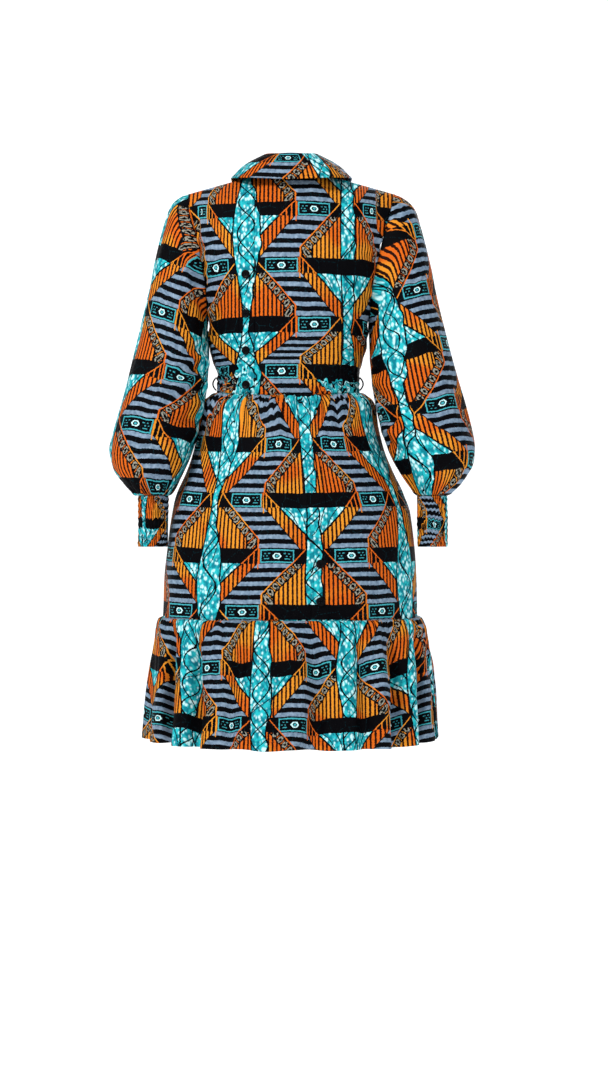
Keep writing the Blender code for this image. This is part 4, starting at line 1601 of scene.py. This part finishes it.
class DressColours(bpy.types.PropertyGroup):
    """Colours of the print, as a screen shows them."""

    orange: colour_choice("Orange", "Deeper orange of the lined bands", (0.80, 0.37, 0.09))
    amber: colour_choice("Amber", "Lighter orange of the lined bands", (0.84, 0.53, 0.15))
    turquoise: colour_choice("Turquoise", "Main blue of the columns", (0.15, 0.70, 0.73))
    deep: colour_choice("Deep turquoise", "Darker blue of the columns", (0.06, 0.47, 0.53))
    pale: colour_choice("Pale", "Bubbles in the columns and rings in the panels", (0.76, 0.92, 0.93))
    blue: colour_choice("Slate", "Darker tone of the level stripes", (0.38, 0.46, 0.54))
    black: colour_choice("Black", "Ground of the print", (0.012, 0.012, 0.022))
    teal: colour_choice("Teal", "Frames of the small panels", (0.24, 0.62, 0.66))
    grey: colour_choice("Blue-grey", "Lighter tone of the level stripes", (0.54, 0.62, 0.70))
    seam: colour_choice("Seam", "Dark lines between the upright orange ones", (0.13, 0.04, 0.02))
    bead: colour_choice("Bead", "Rings along the slanting borders", (0.56, 0.55, 0.50))


class DRESS_OT_cloths(bpy.types.Operator):
    """Make the printed cloth and the finishes of the buttons and thread"""

    bl_idname = "dress.cloths"
    bl_label = "Printed Cloth and Finishes"

    def execute(self, context):
        chosen = context.scene.dress_colours
        names = "orange amber turquoise deep pale blue black teal grey seam bead".split()
        wax_print([linear(getattr(chosen, name)) for name in names])
        plain_finish("button_black", (0.001, 0.001, 0.0015), 0.42, 900, 0.00005, Specular_IOR_Level=0.06)
        plain_finish("thread_black", (0.002, 0.002, 0.003), 0.75, 4000, 0.0001, Specular_IOR_Level=0.05)
        return {"FINISHED"}


class DRESS_OT_bodice(bpy.types.Operator):
    """Make the front and back panels of the bodice"""

    bl_idname = "dress.bodice"
    bl_label = "Bodice"

    def execute(self, context):
        bodice_pieces()
        return {"FINISHED"}


class DRESS_OT_collar(bpy.types.Operator):
    """Make the collar and its band"""

    bl_idname = "dress.collar"
    bl_label = "Collar"

    def execute(self, context):
        collar_pieces()
        return {"FINISHED"}


class DRESS_OT_sleeves(bpy.types.Operator):
    """Make the balloon sleeves and their cuffs"""

    bl_idname = "dress.sleeves"
    bl_label = "Sleeves and Cuffs"

    def execute(self, context):
        for side, side_x in (("left", 1), ("right", -1)):
            sleeve(f"sleeve_{side}", side_x)
            cuff(f"cuff_{side}", side_x)
        return {"FINISHED"}


class DRESS_OT_skirt(bpy.types.Operator):
    """Make the skirt's panels"""

    bl_idname = "dress.skirt"
    bl_label = "Skirt"

    def execute(self, context):
        skirt_pieces()
        return {"FINISHED"}


class DRESS_OT_flounce(bpy.types.Operator):
    """Make the gathered flounce at the hem"""

    bl_idname = "dress.flounce"
    bl_label = "Flounce"

    def execute(self, context):
        flounce_pieces()
        return {"FINISHED"}


class DRESS_OT_stands(bpy.types.Operator):
    """Make the two button stands of the back"""

    bl_idname = "dress.stands"
    bl_label = "Button Stands"

    def execute(self, context):
        stand_pieces()
        return {"FINISHED"}


class DRESS_OT_buttons(bpy.types.Operator):
    """Make the buttons and the thread that holds them"""

    bl_idname = "dress.buttons"
    bl_label = "Buttons"

    def execute(self, context):
        for number, height in enumerate(BODICE_BUTTON_HEIGHTS, 1):
            node = f"bodice_button_{number}"
            button(node + "_turned", node, *bodice_stand_surface(0, down_at(height)))
        for number, height in enumerate(SKIRT_BUTTON_HEIGHTS, 1):
            node = f"skirt_button_{number}"
            button(node + "_turned", node, *skirt_stand_surface(0, height))
        return {"FINISHED"}


class DRESS_OT_loops(bpy.types.Operator):
    """Make the thread loops at the side seams"""

    bl_idname = "dress.loops"
    bl_label = "Thread Loops"

    def execute(self, context):
        thread_loop("belt_loop_left", 1)
        thread_loop("belt_loop_right", -1)
        return {"FINISHED"}


class DRESS_OT_stage(bpy.types.Operator):
    """Make the floor, the lamps and the camera"""

    bl_idname = "dress.stage"
    bl_label = "Stage"

    def execute(self, context):
        stage()
        return {"FINISHED"}


OPERATORS = (
    DRESS_OT_stage,
    DRESS_OT_cloths,
    DRESS_OT_bodice,
    DRESS_OT_collar,
    DRESS_OT_sleeves,
    DRESS_OT_skirt,
    DRESS_OT_flounce,
    DRESS_OT_stands,
    DRESS_OT_buttons,
    DRESS_OT_loops,
)


class DRESS_PT_panel(bpy.types.Panel):
    """Lists the dress's sizes, colours and steps"""

    bl_idname = "DRESS_PT_panel"
    bl_label = "Dress"
    bl_space_type = "VIEW_3D"
    bl_region_type = "UI"
    bl_category = "Dress"

    def draw(self, context):
        for group in (context.scene.dress_sizes, context.scene.dress_colours):
            for name in group.__annotations__:
                self.layout.prop(group, name)
        for operator in OPERATORS:
            self.layout.operator(operator.bl_idname)


def register():
    for made in (DressSizes, DressColours, *OPERATORS, DRESS_PT_panel):
        bpy.utils.register_class(made)
    bpy.types.Scene.dress_sizes = bpy.props.PointerProperty(type=DressSizes)
    bpy.types.Scene.dress_colours = bpy.props.PointerProperty(type=DressColours)


def unregister():
    del bpy.types.Scene.dress_colours
    del bpy.types.Scene.dress_sizes
    for made in reversed((DressSizes, DressColours, *OPERATORS, DRESS_PT_panel)):
        bpy.utils.unregister_class(made)


def main():
    register()
    for operator in OPERATORS:
        group, name = operator.bl_idname.split(".")
        getattr(getattr(bpy.ops, group), name)()


if __name__ == "__main__":
    main()
